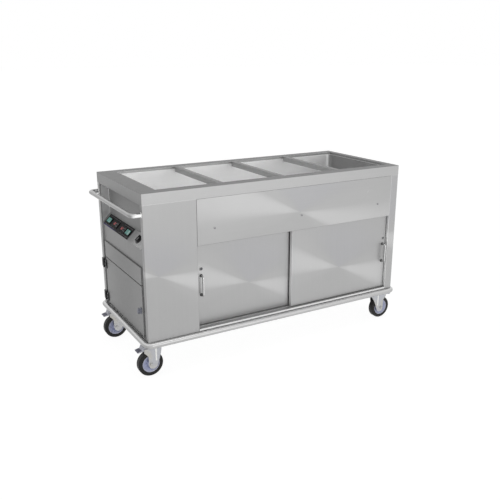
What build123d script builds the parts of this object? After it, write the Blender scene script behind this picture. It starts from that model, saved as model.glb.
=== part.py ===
from build123d import *
from math import atan2, hypot, radians, sin, cos, sqrt
import os

# A mobile bain marie: a steel cabinet on castors with a divided water well and a cupboard.
#
# Millimetres, +Z up, the front faces -Y. The origin is on the floor, below the middle of the
# overall box. X and Y places are counted from the cabinet's left and front faces by at().

# Sheet metal and clearances
sheet = 1.5
bend = 3.0
seat_gap = 0.3
cut_out_gap = 0.3
running_clearance = 0.08
flange = 15.0

# Cabinet
body_length = 1500.0
body_depth = 640.0
body_height = 715.0
lip_height = 53.0
castor_height = 170.0
chassis_height = 28.0

# Water well and its bars
cell_count = 4
bar_width = 25.0
bar_height = 27.0
rim_left = 90.0
rim_right = 35.0
rim_front = 61.0
rim_back = 59.0
rim_drop = 12.0
ledge = 5.0
well_depth = 215.0
well_corner_radius = 30.0
well_floor_radius = 18.0
well_flange = 10.0

# Front: technical compartment, apron and door opening
panel_width = 268.0
right_stile = 48.0
jamb_depth = 75.0
door_sill = 11.0
sill_lip = 9.0
apron_bottom = 435.0
apron_flange = 12.0

# Sliding doors and their grooves
door_thickness = 20.0
front_door_face = 18.0
rear_door_face = 46.0
left_door_past = 16.0
right_door_past = 44.0
door_side_gap = 2.0
door_sill_gap = 2.0
door_top_overlap = 5.0
groove_width = 9.0
glide_width = 8.0
glide_length = 40.0
glide_inset = 90.0
lower_glide_drop = 9.0
upper_glide_rise = 12.0
track_height = 15.0
track_gap = 1.0
track_wall = 9.5
door_flange = 14.0

# Door handles and locks
bow_diameter = 9.5
bow_span = 100.0
bow_reach = 28.0
bow_radius = 12.0
bow_foot_height = 170.0
left_bow_place = 36.0
right_bow_place = 20.0
lock_height = 305.0
lock_radius = 8.0
lock_proud = 2.5
cam_width = 10.0
cam_thickness = 2.5
cam_overlap = 8.0
cam_slot_clearance = 1.5

# Left end: posts, service door, wiring cover
post_width = 25.0
end_recess = 10.0
cover_proud = 8.0
cover_front = 65.0
cover_rear_margin = 53.0
service_bottom = 8.0
service_top = 264.0
strip_bottom = 268.0
strip_top = 355.0
opening_margin = 10.0

# Service door hinges and latch
hinge_height = 47.0
hinge_low = 40.5
hinge_high = 226.5
hinge_axis_back = 34.0
hinge_axis_out = 5.0
knuckle_radius = 5.0
hinge_pin_radius = 2.5
hinge_leaf = 4.0
hinge_leaf_reach = 26.0
door_leaf_reach = 32.0
latch_back = 83.0
latch_up = 136.0
latch_radius = 15.5
latch_base = 6.0
latch_wing = 10.0
latch_wing_proud = 18.0
latch_shaft_radius = 4.0
latch_cam = 34.0
latch_cam_gap = 1.0

# Control niche and its sloped panel
niche_depth = 52.0
slope_bottom = 446.0
slope_rise = 51.0
foil_thickness = 0.8
foil_front = 39.0
foil_rear_margin = 48.0
foil_margin = 4.0
rear_rocker_inset = 100.0
rear_thermostat_inset = 190.0
front_thermostat_inset = 297.0
front_rocker_inset = 375.0
knob_place = 125.0
rocker_length = 36.0
rocker_width = 25.0
rocker_rise = 5.0
rocker_dip = 2.2
rocker_tilt = 8.0
rocker_gap = 0.8
rocker_pin_radius = 1.5
rocker_pin_depth = 3.0
switch_wall = 2.0
switch_flange = 1.6
switch_depth = 24.0
switch_proud = 2.5
bezel_length = 77.0
bezel_width = 35.0
bezel_proud = 3.0
thermostat_inset = 3.0
thermostat_depth = 55.0
window_length = 40.0
window_width = 18.0
knob_radius = 21.0
knob_skirt = 3.0
knob_grip_radius = 13.0
knob_height = 16.0
knob_pointer = 6.0
knob_shaft_radius = 4.0
knob_shaft_length = 22.0

# Push handle
handle_diameter = 22.0
handle_wall = 1.5
handle_reach = 45.0
handle_drop = 98.0
handle_radius = 24.0

# Bumper tube and chassis ring
bumper_diameter = 28.0
bumper_wall = 2.0
bumper_out = 9.0
bumper_drop = 0.3
bumper_radius = 30.0
chassis_width = 40.0
chassis_thickness = 3.0
chassis_corner = 122.0

# Castors
wheel_diameter = 127.0
wheel_width = 34.0
tyre_shoulder = 4.0
hub_radius = 44.0
rim_width = 27.0
rim_thickness = 6.0
web_thickness = 10.0
boss_radius = 14.0
boss_length = 37.4
axle_radius = 4.0
axle_head_radius = 6.5
axle_head = 5.0
swivel_inset = 50.0
swivel_depth = 64.0
castor_trail = 24.0
plate_length = 85.0
plate_width = 105.0
plate_thickness = 3.0
plate_radius = 10.0
plate_hole_radius = 4.5
plate_hole_length = 60.0
plate_hole_width = 80.0
race_radius = 28.0
race_height = 8.0
king_pin_radius = 6.0
king_nut_radius = 10.0
king_nut = 4.0
fork_nose = 16.0
fork_back = 38.5
fork_thickness = 3.0
fork_cheek = 22.0
fork_rim = 16.0
fork_end_radius = 23.0
fork_end_inset = 10.0
fork_end_drop = 2.5
housing_back = 57.0
housing_top = 147.0
housing_low = 127.0
housing_foot = 102.0
wheel_gap = 3.0
hub_gap = 0.3
pedal_reach = 90.0
pedal_plate = 21.0
pedal_thickness = 3.0
pedal_axis_back = 31.0
pedal_axis_height = 146.0
pedal_pin_radius = 3.0
pedal_end = 7.0
pedal_knee_back = 60.0
pedal_knee_height = 163.0
pedal_plate_height = 144.0
pedal_slope = 13.5

# Heating and drain
heater_diameter = 8.5
heater_passes = 4
heater_margin = 8.0
heater_front = 110.0
heater_rear_margin = 80.0
heater_tail = 26.0
tray_wall = 1.0
tray_depth = 38.0
tray_left_gap = 14.0
tray_right_margin = 52.0
tray_front = 78.0
tray_rear_margin = 40.0
cupboard_heater_right_margin = 200.0
cupboard_heater_rear_margin = 42.0
cupboard_heater_low = 60.0
cupboard_heater_pitch = 50.0
heater_plate = 70.0
drain_place = 150.0
drain_back = 330.0
drain_radius = 13.45
drain_wall = 2.0
drain_flange = 12.0
drain_flange_height = 3.0
drain_below = 40.0
collar_height = 2.0
collar_thickness = 3.0
drain_floor_gap = 1.5
valve_height = 150.0
valve_length = 60.0
valve_radius = 20.0
valve_end_radius = 17.0
valve_socket = 8.0
valve_stem_radius = 4.0
valve_stem = 12.0
lever_length = 95.0
lever_width = 18.0
lever_thickness = 3.0
box_length = 60.0
box_depth = 120.0
box_height = 90.0
box_front = 150.0
box_up = 130.0
gland_radius = 10.0
gland_height = 14.0

# Places worked out from the sizes above
left_reach = max(handle_reach + handle_diameter / 2, pedal_reach - swivel_inset)
right_reach = max(bumper_out + bumper_diameter / 2, pedal_reach - swivel_inset)
left = (left_reach - right_reach - body_length) / 2
right = left + body_length
front = -body_depth / 2
back = body_depth / 2
base = castor_height + chassis_height
top = base + body_height
wall_top = top - lip_height
well_length = body_length - rim_left - rim_right
cell_length = (well_length - (cell_count - 1) * bar_width) / cell_count
cell_depth = body_depth - rim_front - rim_back
door_bottom = base + door_sill + door_sill_gap
door_top = base + apron_bottom + door_top_overlap
track_bottom = door_top + track_gap
opening_left = left + panel_width
opening_right = right - right_stile
left_door_left = opening_left + door_side_gap
right_door_right = opening_right - door_side_gap
opening_middle = (opening_left + opening_right) / 2
left_door_right = opening_middle + left_door_past
right_door_left = opening_middle - right_door_past
left_lock_x = opening_left + left_bow_place
right_lock_x = opening_right - right_bow_place
cover_back = body_depth - cover_rear_margin
foil_back = body_depth - foil_rear_margin
rear_rocker_place = body_depth - rear_rocker_inset
rear_thermostat_place = body_depth - rear_thermostat_inset
front_thermostat_place = body_depth - front_thermostat_inset
front_rocker_place = body_depth - front_rocker_inset
heater_back = body_depth - heater_rear_margin
tray_left = panel_width + tray_left_gap
tray_right = body_length - tray_right_margin
tray_back = body_depth - tray_rear_margin
cupboard_heater_right = body_length - cupboard_heater_right_margin
cupboard_heater_back = body_depth - cupboard_heater_rear_margin
well_floor = top - well_depth
well_bottom = well_floor - sheet
handle_height = body_height - handle_drop
slope_top = slope_bottom + slope_rise
slope_angle = atan2(slope_rise, niche_depth)
slope_length = hypot(slope_rise, niche_depth)
rocker_cavity_length = rocker_length + 2 * rocker_gap
rocker_cavity_width = rocker_width + 2 * rocker_gap
switch_length = rocker_cavity_length + 2 * switch_wall
switch_width = rocker_cavity_width + 2 * switch_wall
castor_names = ("front_left", "rear_left", "front_right", "rear_right")

parts = {}


def at(x, y, z):
    """A place counted from the cabinet's left face, front face and underside."""
    return Vector(left + x, front + y, base + z)


def block(x0, x1, y0, y1, z0, z1):
    """A box between two corners."""
    return Pos((x0 + x1) / 2, (y0 + y1) / 2, (z0 + z1) / 2) * Box(x1 - x0, y1 - y0, z1 - z0)


def local_block(x0, x1, y0, y1, z0, z1):
    """A box between two corners that are counted as at() counts."""
    return Pos(left, front, base) * block(x0, x1, y0, y1, z0, z1)


def rod(start, end, radius):
    """A round bar between two points."""
    start = Vector(*start)
    end = Vector(*end)
    axis = end - start
    return Plane(origin=start, z_dir=axis) * extrude(Circle(radius), axis.length)


def ring(start, end, outer, inner):
    """A round tube between two points."""
    return rod(start, end, outer) - rod(start, end, inner)


def folded_section(points, side, thickness=sheet):
    """The section of a sheet that is bent along the points, on one side of them."""
    return make_face(offset(FilletPolyline(*points, radius=bend), thickness, side=side))


def folded_wall(points, side, bottom, height):
    """An upright wall bent along points that are counted from the left and front faces."""
    return Pos(left, front, bottom) * extrude(folded_section(points, side), height)


def bent_tube(path, radius, wall):
    """A tube swept along a path of straight runs and arcs, solid if the wall is zero."""
    start = Plane(origin=path @ 0, z_dir=path % 0)
    tube = sweep(start * Circle(radius), path=path)
    if wall:
        tube -= sweep(start * Circle(radius - wall), path=path)
    return tube


def pan(x0, x1, y0, y1, z0, z1, wall):
    """A shallow pan that is open towards +X, with rounded folds round its face."""
    outer = block(x0, x1, y0, y1, z0, z1)
    outer = fillet(outer.faces().sort_by(Axis.X)[0].edges(), bend - wall / 2)
    return outer - block(x0 + wall, x1 + 1, y0 + wall, y1 - wall, z0 + wall, z1 - wall)


def make_top_frame():
    """The worktop rim: a folded plate with a lip all round and a rim round the well."""
    outer = block(left, right, front, back, wall_top, top)
    outer = fillet(outer.edges().filter_by(Axis.Z) + outer.faces().sort_by(Axis.Z)[-1].edges(), bend - sheet)
    inner = block(left + sheet, right - sheet, front + sheet, back - sheet, wall_top + sheet, top - sheet)
    frame = outer - inner
    frame -= block(left + flange, right - flange, front + flange, back - flange, wall_top - 1, wall_top + 5)
    well_left = left + rim_left
    well_right = well_left + well_length
    well_front = front + rim_front
    well_back = well_front + cell_depth
    frame += block(
        well_left - sheet, well_right + sheet, well_front - sheet, well_back + sheet,
        top - rim_drop, top - sheet,
    )
    return frame - block(well_left, well_right, well_front, well_back, wall_top, top + 1)


def make_well_tank():
    """The pressed tank that hangs under the rim, with a ledge that carries the bars."""
    x0 = left + rim_left + ledge
    x1 = left + rim_left + well_length - ledge
    y0 = front + rim_front + ledge
    y1 = front + rim_front + cell_depth - ledge
    ledge_top = top - rim_drop

    def pressed(growth):
        shape = block(x0 - growth, x1 + growth, y0 - growth, y1 + growth, well_floor - growth, ledge_top)
        shape = fillet(shape.edges().filter_by(Axis.Z), well_corner_radius + growth)
        return fillet(shape.faces().sort_by(Axis.Z)[0].edges(), well_floor_radius + growth)

    reach = ledge + sheet + well_flange
    tank = pressed(sheet)
    tank += block(x0 - reach, x1 + reach, y0 - reach, y1 + reach, ledge_top - sheet, ledge_top)
    tank -= pressed(0)
    hole = (left + drain_place, front + drain_back)
    return tank - rod((*hole, well_bottom - 5), (*hole, well_floor + 5), drain_radius - drain_wall)


def make_divider_bars():
    """Loose channel bars, notched at both ends to sit on the tank's ledge, flush with the rim."""
    y0 = front + rim_front
    y1 = y0 + cell_depth
    seat = top - rim_drop + seat_gap
    for number in range(1, cell_count):
        x0 = left + rim_left + number * cell_length + (number - 1) * bar_width
        x1 = x0 + bar_width
        bar = block(x0, x1, y0 + seat_gap, y1 - seat_gap, top - bar_height, top)
        bar = fillet(bar.faces().sort_by(Axis.Z)[-1].edges().filter_by(Axis.Y), bend - sheet)
        bar -= block(x0 + sheet, x1 - sheet, y0, y1, top - bar_height - 1, top - sheet)
        notch = ledge + seat_gap
        bar -= block(x0 - 1, x1 + 1, y0 - 1, y0 + notch, top - bar_height - 1, seat)
        bar -= block(x0 - 1, x1 + 1, y1 - notch, y1 + 1, top - bar_height - 1, seat)
        parts[f"divider_bar_{number}"] = bar


def make_front_left_panel():
    """The tall panel of the technical compartment, bent round the left corner post."""
    points = [(end_recess, post_width), (0, post_width), (0, 0), (panel_width, 0), (panel_width, jamb_depth)]
    panel = folded_wall(points, Side.LEFT, base, wall_top - base)
    inner_right = panel_width - sheet
    panel += local_block(sheet, inner_right, sheet, flange, wall_top - base - sheet, wall_top - base)
    panel += local_block(sheet, inner_right, sheet, flange, 0, sheet)
    panel -= local_block(inner_right - 1, panel_width + 1, bend, jamb_depth + 1, -1, door_sill)
    panel -= jamb_relief(panel_width)
    return panel - cam_slot(opening_left, left_lock_x, rear_door_face)


def make_right_end_panel():
    """The right end, bent round the front stile and its jamb and round the rear corner."""
    stile = body_length - right_stile
    points = [(stile, jamb_depth), (stile, 0), (body_length, 0), (body_length, body_depth)]
    points.append((body_length - flange, body_depth))
    panel = folded_wall(points, Side.LEFT, base, wall_top - base)
    height = wall_top - base
    for bottom in (0, height - sheet):
        panel += local_block(stile + sheet, body_length - sheet, sheet, flange, bottom, bottom + sheet)
        side = (body_length - flange, body_length - sheet, sheet, body_depth - sheet)
        panel += local_block(*side, bottom, bottom + sheet)
    panel -= local_block(stile - 1, stile + sheet + 1, bend, jamb_depth + 1, -1, door_sill)
    panel -= jamb_relief(stile)
    return panel - cam_slot(opening_right, right_lock_x, front_door_face)


def jamb_relief(x):
    """The part of a jamb that is cut away above the doors' grooves, where the tank passes."""
    depth = rim_front + ledge - sheet - well_flange - 2 * sheet
    low = track_bottom - base + track_height
    return local_block(x - 3, x + 3, depth, jamb_depth + 1, low, wall_top - base + 1)


def cam_reach(jamb, lock_x):
    """The length of a lock's cam, from the lock's axis to past the jamb."""
    return abs(lock_x - jamb) + cam_overlap


def cam_slot(jamb, lock_x, door_face):
    """The slot in a jamb and a door's edge that a lock's cam swings down into."""
    inward = 1 if lock_x > jamb else -1
    x0, x1 = sorted((jamb - 3 * inward, jamb + (door_side_gap + 3) * inward))
    y0 = front + door_face + door_thickness - sheet - seat_gap - cam_thickness - cam_slot_clearance
    y1 = front + door_face + door_thickness + cam_slot_clearance
    swing = hypot(cam_reach(jamb, lock_x), cam_width / 2)
    edge = abs(lock_x - jamb) - door_side_gap - sheet
    low = base + lock_height - cam_width / 2 - cam_slot_clearance
    high = base + lock_height + sqrt(swing ** 2 - edge ** 2) + cam_slot_clearance
    return block(x0, x1, y0, y1, low, high)


def make_rear_panel():
    """The plain back, bent round the rear left corner post."""
    end = body_length - flange - seat_gap
    points = [(end_recess, body_depth - post_width), (0, body_depth - post_width), (0, body_depth)]
    points += [(end, body_depth), (end, body_depth - flange)]
    panel = folded_wall(points, Side.RIGHT, base, wall_top - base)
    height = wall_top - base
    for bottom in (0, height - sheet):
        panel += local_block(sheet, end - sheet, body_depth - flange, body_depth - sheet,
                             bottom, bottom + sheet)
    return panel - local_block(end - sheet - 1, end + 1, body_depth - flange - 1, body_depth - bend,
                               sheet, door_sill)


def make_apron_panel():
    """The fixed panel above the doors, with a flange at its top and a hem at its bottom."""
    x0 = panel_width
    x1 = body_length - right_stile
    height = wall_top - base
    points = [(flange, height), (0, height), (0, apron_bottom), (apron_flange, apron_bottom)]
    points.append((apron_flange, apron_bottom + apron_flange))
    section = folded_section(points, Side.LEFT)
    plane = Plane(origin=(left + x0, front, base), x_dir=(0, 1, 0), z_dir=(1, 0, 0))
    return plane * extrude(section, x1 - x0)


def make_left_end_panel():
    """The fixed sheet of the left end, with openings behind the service door and the strip."""
    x0 = end_recess
    x1 = end_recess + sheet
    y0 = post_width - sheet
    y1 = body_depth - post_width + sheet
    panel = local_block(x0, x1, y0, y1, 0, slope_bottom + sheet)
    panel += local_block(x0, x0 + flange, post_width, body_depth - post_width, 0, sheet)
    hole_front = cover_front + opening_margin
    hole_back = cover_back - opening_margin
    low = service_bottom + opening_margin
    high = service_top - opening_margin
    panel += local_block(x0, x0 + flange, hole_back, hole_back + sheet, low - sheet, high + sheet)
    panel += local_block(x0, x0 + flange, hole_front, hole_back + sheet, low - sheet, low)
    panel += local_block(x0, x0 + flange, hole_front, hole_back + sheet, high, high + sheet)
    panel -= local_block(x0 - 1, x0 + flange + 1, hole_front, hole_back, low, high)
    low = strip_bottom + opening_margin
    high = strip_top - opening_margin
    panel -= local_block(x0 - 1, x1 + 1, hole_front, hole_back, low, high)
    return panel


def make_left_end_covers():
    """The raised strip that covers the wiring, and the service door below it."""
    x0 = left + end_recess - cover_proud
    y0 = front + cover_front
    y1 = front + cover_back
    strip = pan(x0, left + end_recess, y0, y1, base + strip_bottom, base + strip_top, sheet)
    parts["wiring_cover"] = strip
    door = pan(x0, left + end_recess - seat_gap, y0, y1, base + service_bottom, base + service_top, sheet)
    shaft = at(0, latch_back, latch_up)
    hole = rod(shaft - Vector(5, 0, 0), shaft + Vector(20, 0, 0), latch_shaft_radius + running_clearance)
    parts["service_door"] = door - hole


def hinge_axis(z):
    """A place on the service door's hinge axis."""
    return at(-hinge_axis_out, body_depth - hinge_axis_back, z)


def make_service_hinges():
    """Two moulded hinges: leaves on the rear post carry the pins, leaves on the door turn on them."""
    post_leaves = []
    door_leaves = []
    third = hinge_height / 3
    for middle in (hinge_low, hinge_high):
        low = middle - hinge_height / 2
        high = middle + hinge_height / 2
        inner_low = low + third
        inner_high = high - third
        axis_y = body_depth - hinge_axis_back
        leaf = local_block(-hinge_leaf, 0, body_depth - hinge_leaf_reach, body_depth - 2, low, high)
        leaf = fillet(leaf.edges().filter_by(Axis.X), 2)
        leaf += local_block(-hinge_leaf, 0, axis_y, body_depth - hinge_leaf_reach + 2, low, high)
        leaf += rod(hinge_axis(low), hinge_axis(high), knuckle_radius)
        gap = local_block(-2 * hinge_leaf_reach, hinge_leaf_reach, 0, body_depth - hinge_leaf_reach - 1.5,
                          inner_low, inner_high)
        leaf -= gap
        leaf += rod(hinge_axis(low + 1), hinge_axis(high - 1), hinge_pin_radius)
        post_leaves += leaf.solids()
        door_x = end_recess - cover_proud
        low = inner_low + seat_gap
        high = inner_high - seat_gap
        other = local_block(-hinge_leaf, door_x, axis_y - door_leaf_reach, axis_y, low, high)
        other += local_block(-2, door_x, axis_y - door_leaf_reach, axis_y - 8, middle - hinge_height / 2,
                             middle + hinge_height / 2)
        other += rod(hinge_axis(low), hinge_axis(high), knuckle_radius)
        bore = rod(hinge_axis(low - 1), hinge_axis(high + 1), hinge_pin_radius + running_clearance)
        door_leaves += (other - bore).solids()
    parts["hinge_post_leaves"] = Compound(children=post_leaves)
    parts["hinge_door_leaves"] = Compound(children=door_leaves)


def make_service_latch():
    """A quarter-turn latch: a round base with a wing, its shaft, and a cam behind the door."""
    face = end_recess - cover_proud
    middle = at(face, latch_back, latch_up)
    out = Vector(-1, 0, 0)
    latch = rod(middle + out * latch_base, middle + out * seat_gap, latch_radius)
    latch = chamfer(latch.faces().sort_by(Axis.X)[0].edges(), 2)
    wing = local_block(face - latch_wing_proud, face - latch_base + 1, latch_back - latch_wing / 2,
                       latch_back + latch_wing / 2, latch_up - latch_radius + 2, latch_up + latch_radius - 2)
    latch += chamfer(wing.faces().sort_by(Axis.X)[0].edges() + wing.edges().filter_by(Axis.X), 2.5)
    behind = end_recess + sheet + latch_cam_gap
    latch += rod(middle + out * 4, at(behind + 3, latch_back, latch_up), latch_shaft_radius)
    latch += local_block(behind, behind + cam_thickness, latch_back - 6, latch_back + 6,
                         latch_up - latch_cam, latch_up + 6)
    return latch


def slope_place(y):
    """A plane on the sloped panel: x towards the front, y up the slope, z out of the panel."""
    middle = at(niche_depth / 2, y, slope_bottom + slope_rise / 2)
    outward = (-sin(slope_angle), 0, cos(slope_angle))
    return Plane(origin=middle, x_dir=(0, -1, 0), z_dir=outward)


def slope_block(y, length, width, low, high):
    """A box on the slope, centred at a place along it, between two heights above the panel."""
    return slope_place(y) * block(-length / 2, length / 2, -width / 2, width / 2, low, high)


def slope_openings(low, high):
    """The cut-outs for the switches, the thermostats and the main switch's shaft."""
    cuts = []
    for place in (rear_rocker_place, front_rocker_place):
        length = switch_length + 2 * cut_out_gap
        cuts.append(slope_block(place, length, switch_width + 2 * cut_out_gap, low, high))
    for place in (rear_thermostat_place, front_thermostat_place):
        length = bezel_length - 2 * thermostat_inset + 2 * cut_out_gap
        width = bezel_width - 2 * thermostat_inset + 2 * cut_out_gap
        cuts.append(slope_block(place, length, width, low, high))
    hole = Pos(0, 0, low) * extrude(Circle(knob_shaft_radius + running_clearance), high - low)
    cuts.append(slope_place(knob_place) * hole)
    return cuts


def make_control_niche():
    """The recess under the lip: a back wall and two cheeks, with a flange at the top."""
    points = [(end_recess, post_width), (niche_depth, post_width)]
    points += [(niche_depth, body_depth - post_width), (end_recess, body_depth - post_width)]
    bottom = slope_bottom + sheet
    niche = folded_wall(points, Side.RIGHT, base + bottom, wall_top - base - bottom)
    height = wall_top - base
    niche += local_block(sheet, niche_depth + sheet, post_width, body_depth - post_width,
                         height - sheet, height)
    below = local_block(niche_depth - bend, niche_depth + 9, post_width, body_depth - post_width,
                        bottom - 1, slope_top)
    return niche - below


def make_control_panel():
    """The sloped panel with its folded nose, and the foil that lies on it."""
    points = [(niche_depth, slope_top), (0, slope_bottom), (end_recess, slope_bottom)]
    gap = seat_gap / 2
    width = body_depth - 2 * post_width - 2 * gap
    plane = Plane(origin=at(0, body_depth - post_width - gap, 0), x_dir=(1, 0, 0), z_dir=(0, -1, 0))
    panel = plane * extrude(folded_section(points, Side.LEFT), width)
    panel -= local_block(niche_depth, niche_depth + 9, 0, body_depth, slope_bottom, slope_top + 9)
    middle = (foil_front + foil_back) / 2
    foil = slope_block(middle, foil_back - foil_front, slope_length - 2 * foil_margin, 0, foil_thickness)
    for cut in slope_openings(-9, 9):
        panel -= cut
        foil -= cut
    parts["control_panel"] = panel
    parts["control_foil"] = foil


def make_thermostats():
    """Two digital controllers, each a bezel with a window on a long body behind the panel."""
    found = []
    for place in (rear_thermostat_place, front_thermostat_place):
        bezel = block(-bezel_length / 2, bezel_length / 2, -bezel_width / 2, bezel_width / 2,
                      foil_thickness, foil_thickness + bezel_proud)
        bezel = fillet(bezel.faces().sort_by(Axis.Z)[-1].edges(), 1)
        half_length = bezel_length / 2 - thermostat_inset
        half_width = bezel_width / 2 - thermostat_inset
        bezel += block(-half_length, half_length, -half_width, half_width, -thermostat_depth, foil_thickness)
        high = foil_thickness + bezel_proud
        bezel -= block(-half_length + 4, -half_length + 4 + window_length, -window_width / 2,
                       window_width / 2, high - 1, high + 1)
        found += (slope_place(place) * bezel).solids()
    return Compound(children=found)


def make_switches():
    """Two rocker switches: a frame that snaps into the panel and a rocker on two pins."""
    frames = []
    top_level = foil_thickness + switch_proud
    places = {"rocker_rear": rear_rocker_place, "rocker_front": front_rocker_place}
    for name, place in places.items():
        half_length = rocker_cavity_length / 2
        half_width = rocker_cavity_width / 2
        wide = switch_wall + switch_flange
        frame = block(-half_length - wide, half_length + wide, -half_width - wide, half_width + wide,
                      foil_thickness, top_level)
        frame = fillet(frame.faces().sort_by(Axis.Z)[-1].edges(), 1)
        frame += block(-switch_length / 2, switch_length / 2, -switch_width / 2, switch_width / 2,
                       -switch_depth, foil_thickness)
        frame -= block(-half_length, half_length, -half_width, half_width, -switch_depth + switch_wall, 9)
        pin_z = top_level - rocker_pin_depth - 2
        pin_end = half_width + switch_wall * 0.6
        frame -= rod((0, -pin_end, pin_z), (0, pin_end, pin_z), rocker_pin_radius + running_clearance)
        frames += (slope_place(place) * frame).solids()
        end = rocker_length / 2
        low = top_level - rocker_pin_depth - 5
        high = top_level + rocker_rise
        outline = [(-end, low + 3), (1 - end, high), (0, top_level + rocker_dip), (end - 1, high)]
        outline += [(end, low + 3), (end - 6, low - 3), (6 - end, low - 3)]
        side = Plane(origin=(0, rocker_width / 2, 0), x_dir=(1, 0, 0), z_dir=(0, -1, 0))
        rocker = side * extrude(make_face(Polyline(*outline, close=True)), rocker_width)
        pin_end -= seat_gap
        rocker += rod((0, -pin_end, pin_z), (0, pin_end, pin_z), rocker_pin_radius)
        rocker = rocker.rotate(Axis((0, 0, pin_z), (0, 1, 0)), rocker_tilt)
        parts[name] = slope_place(place) * rocker
    parts["switch_frames"] = Compound(children=frames)


def make_main_switch_knob():
    """A round knob with a skirt and a pointer ridge, on a shaft through the panel."""
    low = foil_thickness + seat_gap
    knob = Pos(0, 0, low) * extrude(Circle(knob_radius), knob_skirt)
    knob = fillet(knob.faces().sort_by(Axis.Z)[-1].edges(), 1)
    knob += Pos(0, 0, low) * extrude(Circle(knob_grip_radius), knob_height - 5)
    half = knob_pointer / 2
    ridge = block(-half, half, -knob_grip_radius, knob_radius - 1, low, low + knob_height)
    knob += fillet(ridge.faces().sort_by(Axis.Z)[-1].edges(), 1.5)
    knob += Pos(0, 0, -knob_shaft_length) * extrude(Circle(knob_shaft_radius), knob_shaft_length + low)
    return slope_place(knob_place) * knob


def make_floor_pan():
    """The cupboard's floor, with a lip at the door sill and slots over the lower grooves."""
    x0 = end_recess + sheet + seat_gap
    x1 = body_length - bend
    y1 = body_depth - bend
    low = door_sill - sheet
    floor = local_block(x0, x1, flange, y1, low, door_sill)
    sill_left = panel_width
    sill_right = body_length - right_stile
    floor += local_block(sill_left, sill_right, 0, flange, low, door_sill)
    floor += local_block(sill_left, sill_right, 0, sheet, door_sill - sill_lip, door_sill)
    floor += local_block(x0, x0 + sheet, flange, y1 - flange, sheet, door_sill)
    floor += local_block(x1 - flange, x1 - flange + sheet, flange, y1 - flange + sheet, sheet, door_sill)
    floor += local_block(x0, x1 - flange, y1 - flange, y1 - flange + sheet, sheet, door_sill)
    for face in (front_door_face, rear_door_face):
        middle = face + door_thickness / 2
        slot = (middle - groove_width / 2, middle + groove_width / 2)
        floor -= local_block(sill_left + 3, sill_right - 3, *slot, low - 1, door_sill + 1)
    drain = (left + drain_place, front + drain_back)
    floor -= rod((*drain, base), (*drain, base + 2 * door_sill), drain_radius + drain_floor_gap)
    gland = gland_place()
    return floor - rod((*gland, base), (*gland, base + 2 * door_sill), gland_radius + cut_out_gap)


def gland_place():
    """The middle of the cable gland, below the terminal box."""
    return (left + panel_width - sheet - box_length / 2, front + box_front + box_depth / 2)


def make_tracks():
    """Two grooves above the doors and two in the sill, between the two jambs."""
    x0 = panel_width
    x1 = body_length - right_stile
    y0 = front_door_face + door_thickness / 2 - groove_width / 2 - track_wall
    y1 = rear_door_face + door_thickness / 2 + groove_width / 2 + track_wall
    low = track_bottom - base
    upper = local_block(x0, x1, y0, y1, low, low + track_height)
    lower = local_block(x0, x1, y0, y1, 0, door_sill - sheet)
    for face in (front_door_face, rear_door_face):
        middle = face + door_thickness / 2
        groove = (middle - groove_width / 2, middle + groove_width / 2)
        upper -= local_block(x0 - 1, x1 + 1, *groove, low - 1, low + track_height - 2)
        lower -= local_block(x0 - 1, x1 + 1, *groove, 2, door_sill)
    parts["upper_track"] = upper
    parts["lower_guide"] = lower


def make_partition():
    """The wall between the cupboard and the technical compartment."""
    x1 = panel_width
    ceiling = well_bottom - base - tray_depth - seat_gap
    wall = local_block(x1 - sheet, x1, jamb_depth, body_depth - flange - seat_gap, door_sill, ceiling)
    for height in (cupboard_heater_low, cupboard_heater_low + cupboard_heater_pitch):
        end = at(x1, cupboard_heater_back, height)
        wall -= rod(end - Vector(9, 0, 0), end + Vector(9, 0, 0), heater_diameter / 2 + seat_gap)
    return wall + local_block(x1 - sheet, x1 + flange + 8, jamb_depth, body_depth - flange - seat_gap,
                              ceiling - sheet, ceiling)


def make_door(name, x0, x1, face, jamb, lock_x):
    """A sliding door: a folded tray with glides above and below, a bow handle and a lock."""
    y0 = front + face
    y1 = y0 + door_thickness
    tray = block(x0, x1, y0, y1, door_bottom, door_top)
    tray = fillet(tray.faces().sort_by(Axis.Y)[0].edges(), bend - sheet)
    tray -= block(x0 + sheet, x1 - sheet, y0 + sheet, y1 - sheet, door_bottom + sheet, door_top - sheet)
    tray -= block(x0 + door_flange, x1 - door_flange, y1 - 9, y1 + 1, door_bottom + door_flange,
                  door_top - door_flange)
    lock_z = base + lock_height
    barrel_hole = rod((lock_x, y0 - 5, lock_z), (lock_x, y0 + 5, lock_z), lock_radius + running_clearance)
    tray -= barrel_hole
    tray -= cam_slot(jamb, lock_x, face)
    glides = []
    middle = (y0 + y1) / 2
    for x in (x0 + glide_inset, x1 - glide_inset):
        size = (x - glide_length / 2, x + glide_length / 2)
        size += (middle - glide_width / 2, middle + glide_width / 2)
        glides += block(*size, door_bottom - lower_glide_drop, door_bottom).solids()
        glides += block(*size, door_top, door_top + upper_glide_rise).solids()
    parts[name] = Compound(children=tray.solids() + glides)
    low = base + bow_foot_height
    reach = y0 - bow_reach + bow_diameter / 2
    points = [(lock_x, y0, low), (lock_x, reach, low)]
    points += [(lock_x, reach, low + bow_span), (lock_x, y0, low + bow_span)]
    parts[name + "_handle"] = bent_tube(FilletPolyline(*points, radius=bow_radius), bow_diameter / 2, 0)
    cam_back = y1 - sheet - seat_gap
    cam_front = cam_back - cam_thickness
    barrel = rod((lock_x, y0 - lock_proud, lock_z), (lock_x, cam_front, lock_z), lock_radius)
    barrel -= block(lock_x - 1, lock_x + 1, y0 - lock_proud - 1, y0 - lock_proud + 2, lock_z - 4, lock_z + 4)
    cam = block(lock_x - cam_width / 2, lock_x + cam_width / 2, cam_front, cam_back,
                lock_z - cam_width / 2, lock_z + cam_reach(jamb, lock_x))
    parts[name + "_lock"] = barrel + cam


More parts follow.
